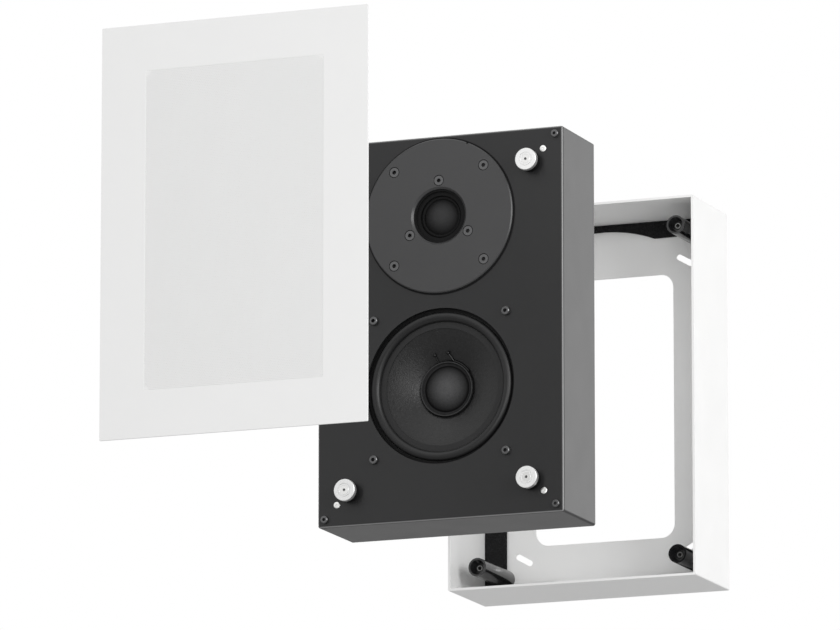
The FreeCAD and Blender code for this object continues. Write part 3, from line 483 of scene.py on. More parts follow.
def arc(start: Point, middle: Point, end: Point, count: int) -> list[Point]:
    """Samples the circle through three points.

    Args:
        start: Where the arc starts.
        middle: A point on its way.
        end: Where it ends.
        count: How many steps it is cut into.

    Returns:
        The points from start to end.
    """
    (ax, ay), (bx, by), (cx, cy) = start, middle, end
    d = 2 * (ax * (by - cy) + bx * (cy - ay) + cx * (ay - by))
    a, b, c = ax * ax + ay * ay, bx * bx + by * by, cx * cx + cy * cy
    ox = (a * (by - cy) + b * (cy - ay) + c * (ay - by)) / d
    oy = (a * (cx - bx) + b * (ax - cx) + c * (bx - ax)) / d
    first = math.atan2(ay - oy, ax - ox)
    sweep = (math.atan2(cy - oy, cx - ox) - first) % math.tau
    if (math.atan2(by - oy, bx - ox) - first) % math.tau > sweep:
        sweep -= math.tau
    radius = math.hypot(ax - ox, ay - oy)
    turns = [first + sweep * step / count for step in range(count + 1)]
    return [(ox + radius * math.cos(turn), oy + radius * math.sin(turn)) for turn in turns]


def rounded_box(half_x: float, half_z: float, radius: float, steps: int = 6) -> list[Point]:
    """Outlines a rectangle with round corners.

    Args:
        half_x: Half its width.
        half_z: Half its height.
        radius: The corners' radius.
        steps: The steps of each corner.

    Returns:
        The outline's points, anticlockwise.
    """
    points = []
    for quarter, (x, z) in enumerate(four(half_x - radius, half_z - radius)):
        for step in range(steps + 1):
            turn = math.radians(90) * (quarter + step / steps)
            points.append((x + radius * math.cos(turn), z + radius * math.sin(turn)))
    return points


def turned(outline: Sequence[Point], centre: Point, steps: int = 144) -> bpy.types.Mesh:
    """Turns a closed outline about an axis that runs from front to rear.

    Args:
        outline: The outline's points as radius and place along y, in millimetres.
        centre: The axis's x and z in millimetres.
        steps: The number of steps round the axis.

    Returns:
        A closed mesh.
    """
    shape = bmesh.new()
    rings = [[shape.verts.new(point) for point in seats(ring(radius, steps, 0.0, centre), y)]
             for radius, y in outline]
    for near, far in zip(rings, rings[1:] + rings[:1]):
        for step in range(steps):
            on = (step + 1) % steps
            shape.faces.new((near[step], near[on], far[on], far[step]))
    bmesh.ops.remove_doubles(shape, verts=shape.verts, dist=1e-7)
    bmesh.ops.dissolve_degenerate(shape, dist=1e-8, edges=shape.edges)
    return smooth(finished(shape))


def finished(shape: bmesh.types.BMesh) -> bpy.types.Mesh:
    """Turns the faces of a shape outwards and makes a mesh of it.

    Args:
        shape: The shape, which is freed.

    Returns:
        The mesh.
    """
    bmesh.ops.recalc_face_normals(shape, faces=shape.faces)
    mesh = bpy.data.meshes.new("shape")
    shape.to_mesh(mesh)
    shape.free()
    return mesh


def mesh_of(holder: bpy.types.Object) -> bpy.types.Mesh:
    """Turns what an object shows into a plain mesh and removes the object.

    Args:
        holder: A curve, or a mesh with modifiers.

    Returns:
        The plain mesh.
    """
    bpy.context.scene.collection.objects.link(holder)
    depsgraph = bpy.context.evaluated_depsgraph_get()
    mesh = bpy.data.meshes.new_from_object(holder.evaluated_get(depsgraph), depsgraph=depsgraph)
    bpy.data.objects.remove(holder)
    return mesh


def plate(loops: Sequence[Sequence[Point]], front: float, back: float, edge: float) -> bpy.types.Mesh:
    """Makes a flat plate with rounded edges from its outlines.

    Args:
        loops: The outer outline and then its holes, as x and z in millimetres.
        front: The plate's front y in millimetres.
        back: Its back y.
        edge: The radius that its edges are rounded with.

    Returns:
        The plate's mesh in its place.
    """
    flat = bpy.data.curves.new("outlines", "CURVE")
    flat.dimensions = "2D"
    flat.fill_mode = "BOTH"
    flat.extrude = ((back - front) / 2 - edge) * MM
    flat.bevel_depth = edge * MM
    flat.bevel_resolution = 2
    flat.offset = -edge * MM
    for loop in loops:
        line = flat.splines.new("POLY")
        line.points.add(len(loop) - 1)
        for point, (x, z) in zip(line.points, loop):
            point.co = (x * MM, z * MM, 0.0, 1.0)
        line.use_cyclic_u = True
    shape = bmesh.new()
    shape.from_mesh(mesh_of(bpy.data.objects.new("outlines", flat)))
    bmesh.ops.remove_doubles(shape, verts=shape.verts, dist=1e-6)
    mesh = finished(shape)
    mesh.transform(Matrix.Translation((0, (front + back) / 2 * MM, 0))
                   @ Matrix.Rotation(Facing.FRONT.value, 4, "X"))
    smooth(mesh)
    for face in mesh.polygons:
        if abs(face.normal.y) > 0.999:
            face.use_smooth = False
    return mesh


class ShapeTree(NodeWriter):
    """A Geometry Nodes tree with named inputs, which sets a shape on points as one real mesh."""

    WELD = 2e-6

    def __init__(self, name: str) -> None:
        """Starts the tree.

        Args:
            name: The tree's name.
        """
        super().__init__(bpy.data.node_groups.new(name, "GeometryNodeTree"))
        self.keys: dict[str, str] = {}
        self.start = self.tree.nodes.new("NodeGroupInput")
        self.tree.interface.new_socket("Geometry", in_out="OUTPUT", socket_type="NodeSocketGeometry")
        self.points = self.take("Points", "NodeSocketGeometry")

    def take(self, name: str, kind: str = "NodeSocketFloat") -> Socket:
        """Adds a named input, and gives the socket of its value inside the tree."""
        self.keys[name] = self.tree.interface.new_socket(name, in_out="INPUT", socket_type=kind).identifier
        return self.start.outputs[name]

    def less(self, value: Feed) -> Socket:
        """Adds the negative of a number."""
        return self.maths("MULTIPLY", value, -1.0)

    def along(self, axis: str, length: Feed) -> Socket:
        """Adds a vector along one axis."""
        return self.add("ShaderNodeCombineXYZ", {axis: length}).outputs[0]

    def move(self, shape: Socket, axis: str, length: Feed) -> Socket:
        """Adds a shift of a shape along one axis."""
        shift = {"Geometry": shape, "Translation": self.along(axis, length)}
        return self.add("GeometryNodeTransform", shift).outputs[0]

    def angle(self, axis: str, angle: Feed) -> Socket:
        """Adds a rotation about one axis."""
        return self.add("FunctionNodeEulerToRotation", {"Euler": self.along(axis, angle)}).outputs[0]

    def turn(self, shape: Socket, axis: str, angle: Feed) -> Socket:
        """Adds a turn of a shape about one axis."""
        turn = {"Geometry": shape, "Rotation": self.angle(axis, angle)}
        return self.add("GeometryNodeTransform", turn).outputs[0]

    def weld(self, *shapes: Socket) -> Socket:
        """Joins shapes where they meet.

        Args:
            shapes: The shapes.

        Returns:
            One shape.
        """
        both = self.add("GeometryNodeJoinGeometry")
        for shape in shapes:
            self.tree.links.new(shape, both.inputs[0])
        return self.add("GeometryNodeMergeByDistance", {
            "Geometry": both.outputs[0], "Distance": self.WELD}).outputs[0]

    def on_points(self, points: Socket, shape: Socket, **more: Socket) -> Socket:
        """Adds a real copy of a shape on every point."""
        copies = self.add("GeometryNodeInstanceOnPoints", {"Points": points, "Instance": shape, **more})
        return self.add("GeometryNodeRealizeInstances", {"Geometry": copies.outputs[0]}).outputs[0]

    def pull(self, shape: Socket, top: Feed, rise: Feed) -> bpy.types.Node:
        """Adds faces that are pulled out of a shape together."""
        return self.add("GeometryNodeExtrudeMesh", {
            "Mesh": shape, "Selection": top, "Offset Scale": rise, "Individual": False}, mode="FACES")

    def step(self, shape: Socket, top: Feed, radius: Feed,
             *steps: tuple[Feed, Feed]) -> tuple[Socket, Socket]:
        """Raises the top face of a turned shape step by step, each with a new radius.

        Args:
            shape: The shape so far.
            top: The choice of its top face.
            radius: The top face's radius.
            steps: The new radius and the rise of each step.

        Returns:
            The shape and the choice of its new top face.
        """
        for after, rise in steps:
            pulled = self.pull(shape, top, rise)
            top = pulled.outputs["Top"]
            shape = self.add("GeometryNodeScaleElements", {
                "Geometry": pulled.outputs["Mesh"], "Selection": top,
                "Scale": self.maths("DIVIDE", after, radius)}, domain="FACE", scale_mode="UNIFORM").outputs[0]
            radius = after
        return shape, top

    def close(self, shape: Socket, facing: Feed = Facing.FRONT.value, **more: Socket) -> None:
        """Ends the tree with copies of a shape on its points.

        Args:
            shape: The shape, which looks along z.
            facing: Its turn about the x axis.
            more: More inputs of the node that sets the copies.
        """
        real = self.on_points(self.points, self.turn(shape, "X", facing), **more)
        coat = self.add("GeometryNodeSetMaterial", {
            "Geometry": real, "Material": self.take("Finish", "NodeSocketMaterial")})
        self.add("NodeGroupOutput", {0: coat.outputs[0]})

    def run(self, places: Sequence[Vector], values: dict) -> bpy.types.Mesh:
        """Runs the tree on points.

        Args:
            places: The points in metres.
            values: The tree's inputs by name, with lengths as floats in millimetres.

        Returns:
            The plain mesh that the tree makes.
        """
        points = bpy.data.meshes.new("points")
        points.from_pydata([tuple(place) for place in places], [], [])
        holder = bpy.data.objects.new("points", points)
        modifier = holder.modifiers.new("shape", "NODES")
        modifier.node_group = self.tree
        for key, value in values.items():
            modifier[self.keys[key]] = value * MM if isinstance(value, float) else value
        return smooth(mesh_of(holder))


class ScrewTree(ShapeTree):
    """Screws on points: a shank, a head of four steps and a hexagon socket."""

    STEPS = ("Foot", "Rim", "Shoulder", "Crown")

    def __init__(self, facing: Facing) -> None:
        """Builds the tree.

        Args:
            facing: The side that the heads look to.
        """
        super().__init__("screws to the " + facing.name.lower())
        radius, length = self.take("Shank Radius"), self.take("Shank Length")
        bar = self.add("GeometryNodeMeshCylinder", {"Vertices": 32, "Radius": radius, "Depth": length})
        shape = self.move(bar.outputs["Mesh"], "Z", self.maths("MULTIPLY", length, -0.5))
        steps = [(self.take(name + " Radius"), self.take(name + " Rise")) for name in self.STEPS]
        shape = self.step(shape, bar.outputs["Top"], radius, *steps)[0]
        height = 0.0
        for step in steps:
            height = self.maths("ADD", height, step[1])
        key = self.add("GeometryNodeMeshCylinder", {
            "Vertices": 6, "Radius": self.take("Socket Radius"),
            "Depth": self.maths("MULTIPLY", self.take("Socket Depth"), 2.0)})
        cut = self.add("GeometryNodeMeshBoolean", {
            "Mesh 1": shape, "Mesh 2": self.move(key.outputs["Mesh"], "Z", height)}, operation="DIFFERENCE")
        chance = self.add("FunctionNodeRandomValue", {
            "Max": math.radians(60), "Seed": self.take("Spin Seed", "NodeSocketInt")}, data_type="FLOAT")
        self.close(cut.outputs["Mesh"], facing.value, Rotation=self.angle("Y", chance.outputs["Value"]))


class DiscTree(ShapeTree):
    """Pot magnets on points: a disc with a broken edge, a ring groove and a countersink."""

    MARK = "turn_radius"

    def __init__(self) -> None:
        """Builds the tree, and marks each point with its radius for the turned grain."""
        super().__init__("pot magnets")
        radius, thick, edge = self.take("Disc Radius"), self.take("Disc Thickness"), self.take("Edge")
        groove, width = self.take("Groove Radius"), self.take("Groove Width")
        depth, sunk = self.take("Groove Depth"), self.take("Sink Depth")
        mouth, floor = self.take("Sink Radius"), self.take("Sink Floor")
        body = self.maths("SUBTRACT", thick, edge)
        bar = self.add("GeometryNodeMeshCylinder", {"Vertices": 96, "Radius": radius, "Depth": body})
        shape = self.move(bar.outputs["Mesh"], "Z", self.maths("MULTIPLY", body, 0.5))
        inner = self.maths("SUBTRACT", groove, width)
        shape = self.step(
            shape, bar.outputs["Top"], radius, (self.maths("SUBTRACT", radius, edge), edge), (groove, 0.0),
            (groove, self.less(depth)), (inner, 0.0), (inner, depth), (mouth, 0.0),
            (floor, self.less(sunk)))[0]
        where = self.add("GeometryNodeInputPosition").outputs[0]
        away = self.vector("LENGTH", self.vector("MULTIPLY", where, (1.0, 1.0, 0.0)))
        marked = self.add("GeometryNodeStoreNamedAttribute", {
            "Geometry": shape, "Name": self.MARK, "Value": away}, data_type="FLOAT", domain="POINT")
        self.close(marked.outputs[0])


class PerforationTree(ShapeTree):
    """A sheet with round perforations in staggered rows, tile by tile."""

    def __init__(self) -> None:
        """Builds the tree."""
        super().__init__("perforation")
        pitch, hole, sheet = self.take("Pitch"), self.take("Hole Radius"), self.take("Sheet Depth")
        columns, pairs = self.take("Columns", "NodeSocketInt"), self.take("Row Pairs", "NodeSocketInt")
        corner = self.maths("DIVIDE", pitch, math.sqrt(3))
        tile = self.add("GeometryNodeMeshCircle", {"Vertices": 6, "Radius": corner}, fill_type="NGON")
        shape, top = self.step(tile.outputs[0], True, corner, (hole, 0.0))
        bare = self.add("GeometryNodeDeleteGeometry", {"Geometry": shape, "Selection": top}, domain="FACE",
                        mode="ALL")
        rows = self.maths("MULTIPLY", pitch, math.sqrt(3))
        grid = self.add("GeometryNodeMeshGrid", {
            "Vertices X": columns, "Vertices Y": pairs,
            "Size X": self.maths("MULTIPLY", pitch, self.maths("SUBTRACT", columns, 1.0)),
            "Size Y": self.maths("MULTIPLY", rows, self.maths("SUBTRACT", pairs, 1.0))}).outputs["Mesh"]
        aside = self.move(grid, "X", self.maths("MULTIPLY", pitch, 0.5))
        half = self.move(aside, "Y", self.maths("MULTIPLY", rows, 0.5))
        ready = self.turn(bare.outputs[0], "Z", math.radians(30))
        flat = self.weld(self.on_points(grid, ready), self.on_points(half, ready))
        back = self.move(flat, "Z", self.less(sheet))
        front = self.pull(back, True, sheet).outputs["Mesh"]
        self.close(self.weld(front, self.add("GeometryNodeFlipFaces", {"Mesh": back}).outputs[0]))


class SocketTree(ShapeTree):
    """Hexagon linings of screw sockets on points, open to the front; dark, they paint the shade inside the
    sockets.
    """

    def __init__(self) -> None:
        """Builds the tree."""
        super().__init__("sockets")
        radius, wall, depth = self.take("Socket Radius"), self.take("Wall"), self.take("Socket Depth")
        bar = self.add("GeometryNodeMeshCylinder", {"Vertices": 6, "Radius": radius, "Depth": depth})
        inner = self.maths("SUBTRACT", radius, wall)
        self.close(self.step(bar.outputs["Mesh"], bar.outputs["Top"], radius, (inner, 0.0),
                             (inner, self.maths("MULTIPLY", depth, -0.6)))[0])


class RingTree(ShapeTree):
    """Thin round rings on points, which face the front."""

    def __init__(self) -> None:
        """Builds the tree."""
        super().__init__("rings")
        path, wire = (self.add("GeometryNodeCurvePrimitiveCircle", {
            "Resolution": steps, "Radius": self.take(name)}).outputs[0]
            for steps, name in ((40, "Ring Radius"), (8, "Wire Radius")))
        self.close(self.add("GeometryNodeCurveToMesh", {"Curve": path, "Profile Curve": wire}).outputs[0])


@dataclass(frozen=True)
class Screw:
    """The form of a screw, in millimetres; its shank and its socket have a radius and a depth.

    DOME gives a button head's steps as shares of its radius and height. FOOT is the width of a sunk head's
    foot as a share of its shank's, and LAND is the height of its rim.
    """

    DOME = ((0.97, 0.0), (1.0, 0.55), (0.93, 0.3), (0.78, 0.15))
    FOOT = 1.02
    LAND = 0.1

    head: Head
    radius: float
    height: float
    shank: Point
    socket: Point

    def steps(self) -> tuple[Point, ...]:
        """Gives the radius and the rise of each step of the head.

        Returns:
            The steps from the head's foot to its crown.
        """
        if self.head is Head.BUTTON:
            return tuple((self.radius * width, self.height * rise) for width, rise in self.DOME)
        return ((self.shank[0] * self.FOOT, 0.0), (self.radius, self.height - 2 * self.LAND),
                (self.radius, self.LAND), (self.radius - self.LAND, self.LAND))

    def inputs(self) -> dict:
        """Gives the screw tree's inputs.

        Returns:
            The inputs by name.
        """
        values = {"Shank Radius": self.shank[0], "Shank Length": self.shank[1],
                  "Socket Radius": self.socket[0], "Socket Depth": self.socket[1]}
        for name, (radius, rise) in zip(ScrewTree.STEPS, self.steps()):
            values.update({name + " Radius": radius, name + " Rise": rise})
        return values


@dataclass(frozen=True)
class ScrewSet:
    """Like screws of one body, whose seats lie in one plane, in millimetres."""

    name: str
    node: str
    slot: str
    screw: Screw
    places: tuple[Point, ...]
    seat: float
    seed: int
    facing: Facing = Facing.FRONT
    body: Body = Body.CABINET

    def build(self, trees: dict[Facing, ScrewTree]) -> None:
        """Builds the set in place of its solids.

        Args:
            trees: The trees that make screws.
        """
        values = {**self.screw.inputs(), "Spin Seed": self.seed, "Finish": PALETTE.coat(self.slot)}
        mesh = trees[self.facing].run(seats(self.places, self.seat), values)
        place_piece(self.name, mesh, self.slot, self.body, self.node)


@dataclass
class Fasteners:
    """Every screw of the loudspeaker, with its seats, the dark rings round sunk heads that paint their shadow
    and the dark socket linings that paint shade, in millimetres.
    """

    plate_screws: tuple[Point, ...] = four(39.0, 39.0, TWEETER[1])
    tweeter_screws: tuple[Point, ...] = ring(29.25, 3, 90.0, TWEETER)
    woofer_screws: tuple[Point, ...] = four(57.5, 57.5, WOOFER[1])
    cup_screws: tuple[Point, ...] = four(34.0, 24.0, TERMINALS[1])
    face_seat: float = -384.75
    magnet_seat: float = -394.5
    rear_seat: float = -313.7
    cup_seat: float = -311.7
    post_seat: float = -1.8
    # Dark rings in the gaps round the sunk heads, as painted shadow
    ring_radius: float = 4.28
    ring_wire: float = 0.24
    ring_y: float = -387.08
    # Dark linings in the magnet screws' sockets, as painted shade
    lining_radius: float = 1.5
    lining_wall: float = 0.2
    lining_depth: float = 2.0
    lining_y: float = -395.26

    def sets(self) -> list[ScrewSet]:
        """Lists the sets.

        Returns:
            The sets of like screws, from the cabinet's corners to the wall frame.
        """
        button, sunk, rear = Head.BUTTON, Head.SUNK, Facing.REAR
        return [
            ScrewSet("corner_button_screws", "corner_screws", "black_steel",
                     Screw(button, 3.25, 2.8, (1.5, 12.0), (1.45, 5.0)), four(*CORNERS), FRONT, 3),
            ScrewSet("rear_sunk_screws", "rear_screws", "black_steel",
                     Screw(sunk, 2.9, 1.4, (1.5, 10.6), (1.2, 3.2)), four(*CORNERS), self.rear_seat, 4,
                     rear),
            ScrewSet("cabinet_bright_screws", "cabinet_screws", "zinc_steel",
                     Screw(button, 2.75, 0.9, (1.5, 20.0), (0.8, 0.4)), four(*POSTS), FRONT, 5),
            ScrewSet("magnet_sunk_screws", "magnet_screws", "zinc_steel",
                     Screw(sunk, 3.8, 1.8, (2.0, 15.7), (1.25, 6.0)), four(*MAGNETS), self.magnet_seat, 6),
            ScrewSet("plate_face_screws", "plate_screws", "black_steel",
                     Screw(sunk, 4.0, 2.3, (2.0, 5.95), (1.85, 5.0)), self.plate_screws, self.face_seat, 7),
            ScrewSet("tweeter_face_screws", "tweeter_screws", "black_steel",
                     Screw(sunk, 4.0, 2.3, (2.0, 4.45), (1.85, 5.0)), self.tweeter_screws, self.face_seat,
                     8),
            ScrewSet("woofer_button_screws", "woofer_screws", "black_steel",
                     Screw(button, 3.7, 3.0, (2.0, 7.5), (1.75, 6.0)), self.woofer_screws, FRONT, 9),
            ScrewSet("cup_sunk_screws", "cup_screws", "black_steel",
                     Screw(sunk, 2.9, 1.4, (1.5, 4.6), (1.2, 3.2)), self.cup_screws, self.cup_seat, 10,
                     rear),
            ScrewSet("post_sunk_screws", "post_screws", "zinc_steel",
                     Screw(sunk, 3.8, 1.8, (2.0, 10.2), (1.5, 3.6)), four(*POSTS), self.post_seat, 11, rear,
                     Body.MOUNT),
        ]

    def build(self) -> None:
        """Builds every set, dark rings in the gaps round the sunk heads as painted shadow, and dark socket
        linings as painted shade.
        """
        trees = {facing: ScrewTree(facing) for facing in Facing}
        for group in self.sets():
            group.build(trees)
        # Painted shadow: dark rings in the gaps round the sunk heads of the plate and tweeter screws
        places = seats((*self.plate_screws, *self.tweeter_screws), self.ring_y)
        rings = RingTree().run(places, {
            "Ring Radius": self.ring_radius, "Wire Radius": self.ring_wire,
            "Finish": PALETTE.coat("black_plastic", "tweeter_face")})
        place_piece("screw_gap_shadow_rings", rings, "black_plastic", Body.CABINET)
        # Painted shade: dark hexagon linings inside the magnet screws' sockets
        linings = SocketTree().run(seats(four(*MAGNETS), self.lining_y), {
            "Socket Radius": self.lining_radius, "Wall": self.lining_wall, "Socket Depth": self.lining_depth,
            "Finish": PALETTE.coat("black_steel")})
        place_piece("magnet_socket_shade_linings", linings, "black_steel", Body.CABINET)


@dataclass
class Grille:
    """The grille: a sheet panel with a perforated field and a cloth behind it, in millimetres."""

    half_x: float = 111.0
    half_z: float = 162.5
    front: float = -815.8
    back: float = -814.3
    corner: float = 0.8
    edge: float = 0.15
    field_x: float = 74.0
    field_z: float = 126.0
    field_corner: float = 0.4
    field_steps: int = 2
    recess: float = 0.1
    overlap: float = 0.5
    pitch: float = 1.5
    hole: float = 0.26
    sheet: float = 0.3
    bands: tuple[str, ...] = ("top", "upper", "lower", "bottom")
    cloth_x: float = 78.0
    cloth_z: float = 130.0
    cloth_gap: float = 0.02
    cloth_thick: float = 0.4
    cloth_edge: float = 0.05
    cloth_corner: float = 10.5
    cloth_steps: int = 36

    def build(self) -> None:
        """Builds the border, the perforated field and the cloth."""
        outer = rounded_box(self.half_x, self.half_z, self.corner)
        window = rounded_box(self.field_x, self.field_z, self.field_corner, self.field_steps)[::-1]
        border = plate((outer, window), self.front, self.back, self.edge)
        place_piece("grille_border", border, "white_paint", Body.GRILLE, "grille_panel", like="grille_panel")
        self.build_field()
        self.build_cloth()

    def build_field(self) -> None:
        """Builds the perforated field in bands from top to bottom, which run on a little into the border."""
        tree = PerforationTree()
        row = self.pitch * math.sqrt(3)
        columns = math.ceil(2 * (self.field_x + self.overlap) / self.pitch)
        pairs = math.ceil(2 * (self.field_z + self.overlap) / row)
        left = pairs
        for band, name in enumerate(self.bands):
            count = math.ceil(left / (len(self.bands) - band))
            middle = (left - count / 2 - pairs / 2) * row
            left -= count
            seat = seats([(-self.pitch / 4, middle - row / 4)], self.front + self.recess)
            mesh = tree.run(seat, {
                "Pitch": self.pitch, "Hole Radius": self.hole, "Sheet Depth": self.sheet, "Columns": columns,
                "Row Pairs": count, "Finish": PALETTE.coat("white_paint", "grille_panel")})
            place_piece("grille_field_" + name, mesh, "white_paint", Body.GRILLE, "grille_panel")

    def build_cloth(self) -> None:
        """Builds the cloth, stretched over the back of the field and cut clear of the magnets."""
        loop = [(x, z) for magnet in four(*MAGNETS)
                for x, z in ring(self.cloth_corner, self.cloth_steps, 0.0, magnet)
                if abs(x) < self.cloth_x and abs(z) < self.cloth_z]
        loop.sort(key=lambda point: math.atan2(point[1], point[0]))
        front, back = self.back + self.cloth_gap, self.back + self.cloth_thick
        mesh = plate((loop,), front, back, self.cloth_edge)
        cloth = place_piece("grille_cloth_sheet", mesh, "white_cloth", Body.GRILLE, "grille_cloth")


@dataclass
class GrilleMagnets:
    """The four pot magnets that hold the grille, in millimetres."""

    seat: float = -391.8
    radius: float = 9.0
    thick: float = 4.5
    edge: float = 0.35
    groove: float = 5.6
    groove_width: float = 0.5
    groove_depth: float = 0.5
    sink: float = 3.9
    sink_floor: float = 2.2
    sink_depth: float = 1.9

    def build(self) -> None:
        """Builds the four discs."""
        mesh = DiscTree().run(seats(four(*MAGNETS), self.seat), {
            "Disc Radius": self.radius, "Disc Thickness": self.thick, "Edge": self.edge,
            "Groove Radius": self.groove, "Groove Width": self.groove_width,
            "Groove Depth": self.groove_depth, "Sink Radius": self.sink, "Sink Floor": self.sink_floor,
            "Sink Depth": self.sink_depth, "Finish": PALETTE.coat("nickel")})
        place_piece("pot_magnet_discs", mesh, "nickel", Body.CABINET, "pot_magnets")


@dataclass(frozen=True)
class ShadowStrip:
    """A dull black strip round a driver's edge, in millimetres, which paints the shadow of the gap there."""

    name: str
    centre: Point
    inner: float
    outer: float
    back: float
    thick: float
    edge: float = 0.15

    def build(self) -> None:
        """Builds the strip with its outer front edge broken."""
        front = self.back - self.thick
        outline = [(self.inner, self.back), (self.inner, front), (self.outer - self.edge, front),
                   (self.outer, front + self.edge), (self.outer, self.back)]
        mesh = turned(outline, self.centre)
        place_piece(self.name, mesh, "black_plastic", Body.CABINET, like="tweeter_face")


# Painted shadows: dull black strips round the tweeter plate and at the edge of the woofer's hole
SHADOW_STRIPS = (
    ShadowStrip("tweeter_plate_shadow_strip", TWEETER, 64.03, 65.3, FRONT - 0.01, 0.59),
    ShadowStrip("woofer_edge_shadow_strip", WOOFER, 61.95, 64.2, FRONT + 4.49, 0.5),
)


@dataclass
class Woofer:
    """The woofer's surround and spider, in millimetres; depths are behind the cabinet's front."""

    land: float = 66.2
    roll_outer: float = 61.65
    roll_inner: float = 53.45
    roll_steps: int = 28
    lip: float = 48.45
    face: float = 4.5
    skin: float = 0.8
    spider_plane: float = 27.5
    spider_inner: float = 16.45
    spider_outer: float = 40.0
    spider_rim: float = 44.95
    spider_steps: int = 96
    waves: int = 4
    wave_height: float = 1.5
    wave_steps: int = 24
    spider_skin: float = 0.6

    def build(self) -> None:
        """Builds the surround and the spider."""
        self.build_surround()
        self.build_spider()

    def build_surround(self) -> None:
        """Builds the half roll that lets the cone travel."""
        outer, inner, skin = self.roll_outer, self.roll_inner, self.skin
        front, back = FRONT + self.face, FRONT + self.face + skin
        middle, crown = (outer + inner) / 2, (outer - inner) / 2
        over = arc((outer, front), (middle, front - crown), (inner, front), self.roll_steps)
        under = arc((inner + skin, back), (middle, back - crown), (outer - skin, back), self.roll_steps)
        outline = [(self.land, front), *over, (self.lip, front), (self.lip, back), *under, (self.land, back)]
        mesh = turned(outline, WOOFER)
        self.follow(place_piece("woofer_roll", mesh, "black_rubber", None, "woofer_surround"))

    def build_spider(self) -> None:
        """Builds the corrugated spider behind the cone."""
        inner, outer = self.spider_inner, self.spider_outer
        y = FRONT + self.spider_plane
        count = self.wave_steps * self.waves
        over = [(inner + (outer - inner) * step / count,
                 y - self.wave_height / 2 * math.sin(math.tau * self.waves * step / count))
                for step in range(count + 1)]
        over.append((self.spider_rim, y))
        under = [(radius, place + self.spider_skin) for radius, place in reversed(over)]
        mesh = turned([*over, *under], WOOFER, self.spider_steps)
        piece = place_piece("woofer_spider_cloth", mesh, "spider_cloth", None, "woofer_spider")
        self.follow(piece)

    def follow(self, piece: bpy.types.Object) -> None:
        """Sets a ring's placement into its mesh.

        Args:
            piece: The ring.
        """
        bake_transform(piece)


@dataclass
class FoamGasket:
    """The foam ring in the wall frame, in millimetres."""

    outer: Point = (108.7, 160.2)
    outer_corner: float = 1.0
    inner: Point = (88.4, 145.5)
    front: float = -4.0
    back: float = -2.0
    edge: float = 0.5
    notch_radius: float = 125.0
    notch_rise: float = 9.0
    notch_steps: int = 24
    post_clear: float = 8.3
    post_start: float = math.radians(-130)
    post_steps: int = 48

    def build(self) -> None:
        loops = (rounded_box(*self.outer, self.outer_corner), self.inner_loop()[::-1])
        mesh = plate(loops, self.front, self.back, self.edge)
        piece = place_piece("wall_foam_ring", mesh, "black_foam", Body.MOUNT, "foam_gasket")

    def inner_loop(self) -> list[Point]:
        """Outlines the opening of the ring, which steps round the posts and bows out above and below.

        Returns:
            The outline, anticlockwise.
        """
        x, z = self.inner
        reach = math.sqrt(self.notch_radius ** 2 - (self.notch_radius - self.notch_rise) ** 2)
        bow = arc((reach, z), (0.0, z + self.notch_rise), (-reach, z), self.notch_steps)
        corner = [(px, pz) for px, pz in ring(self.post_clear, self.post_steps, 0.0, POSTS)
                  if px > x or pz > z]
        corner.sort(key=lambda point: (
            math.atan2(point[1] - POSTS[1], point[0] - POSTS[0]) - self.post_start) % math.tau)
        upper = [*corner, *bow, *[(-px, pz) for px, pz in reversed(corner)]]
        return [*upper, *[(-px, -pz) for px, pz in upper]]


@dataclass
class DampingPad:
    """The damping pad behind the tweeter, in millimetres; its bevel and sag are shares of its sides."""

    low: Place = (-65.0, -334.3, 62.0)
    high: Place = (65.0, -314.3, 122.0)
    bevel: float = 0.12
    sag: float = 0.06

    def build(self) -> None:
        shape = bmesh.new()
        bmesh.ops.create_cube(shape, size=1.0)
        bmesh.ops.bevel(shape, geom=shape.edges, offset=self.bevel, segments=3, affect="EDGES", profile=0.5)
        bmesh.ops.subdivide_edges(shape, edges=shape.edges, cuts=2, use_grid_fill=True)
        for vertex in shape.verts:
            across, up = math.cos(vertex.co.x * math.pi), math.cos(vertex.co.z * math.pi)
            shares = (1.0, 1 - self.sag + self.sag * across * up, 1.0)
            vertex.co = Vector([(high + low) / 2 + place * (high - low) * share for low, high, place, share
                                in zip(self.low, self.high, vertex.co, shares)]) * MM
        self.sort(shape)
        mesh = smooth(finished(shape), angle=60.0)
        piece = place_piece("tweeter_damping_pad", mesh, "grey_foam", Body.CABINET, "damping_pad")

    def sort(self, shape: bmesh.types.BMesh) -> None:
        """Puts the points and faces of a shape in order of place, because a bevel leaves them in any order.

        Args:
            shape: The shape to sort.
        """
        for items, place in ((shape.verts, lambda vertex: vertex.co),
                             (shape.faces, lambda face: face.calc_center_median())):
            order = sorted(items, key=lambda item: [round(value / MM, 3) for value in place(item)])
            ranks = {item: rank for rank, item in enumerate(order)}
            items.sort(key=ranks.get)
            items.index_update()


@dataclass(frozen=True)
class Lamp:
    """A soft square lamp, in metres and watts."""

    name: str
    place: Place
    size: float
    power: float

    def build(self, target: Vector) -> None:
        """Hangs the lamp.

        Args:
            target: The point that it looks at.
        """
        data = bpy.data.lights.new(self.name, "AREA")
        data.shape = "SQUARE"
        data.size = self.size
        data.energy = self.power
        lamp = bpy.data.objects.new(self.name, data)
        lamp.location = self.place
        lamp.rotation_euler = (target - Vector(self.place)).to_track_quat("-Z", "Y").to_euler()
        lamp.visible_camera = False
        bpy.context.scene.collection.objects.link(lamp)


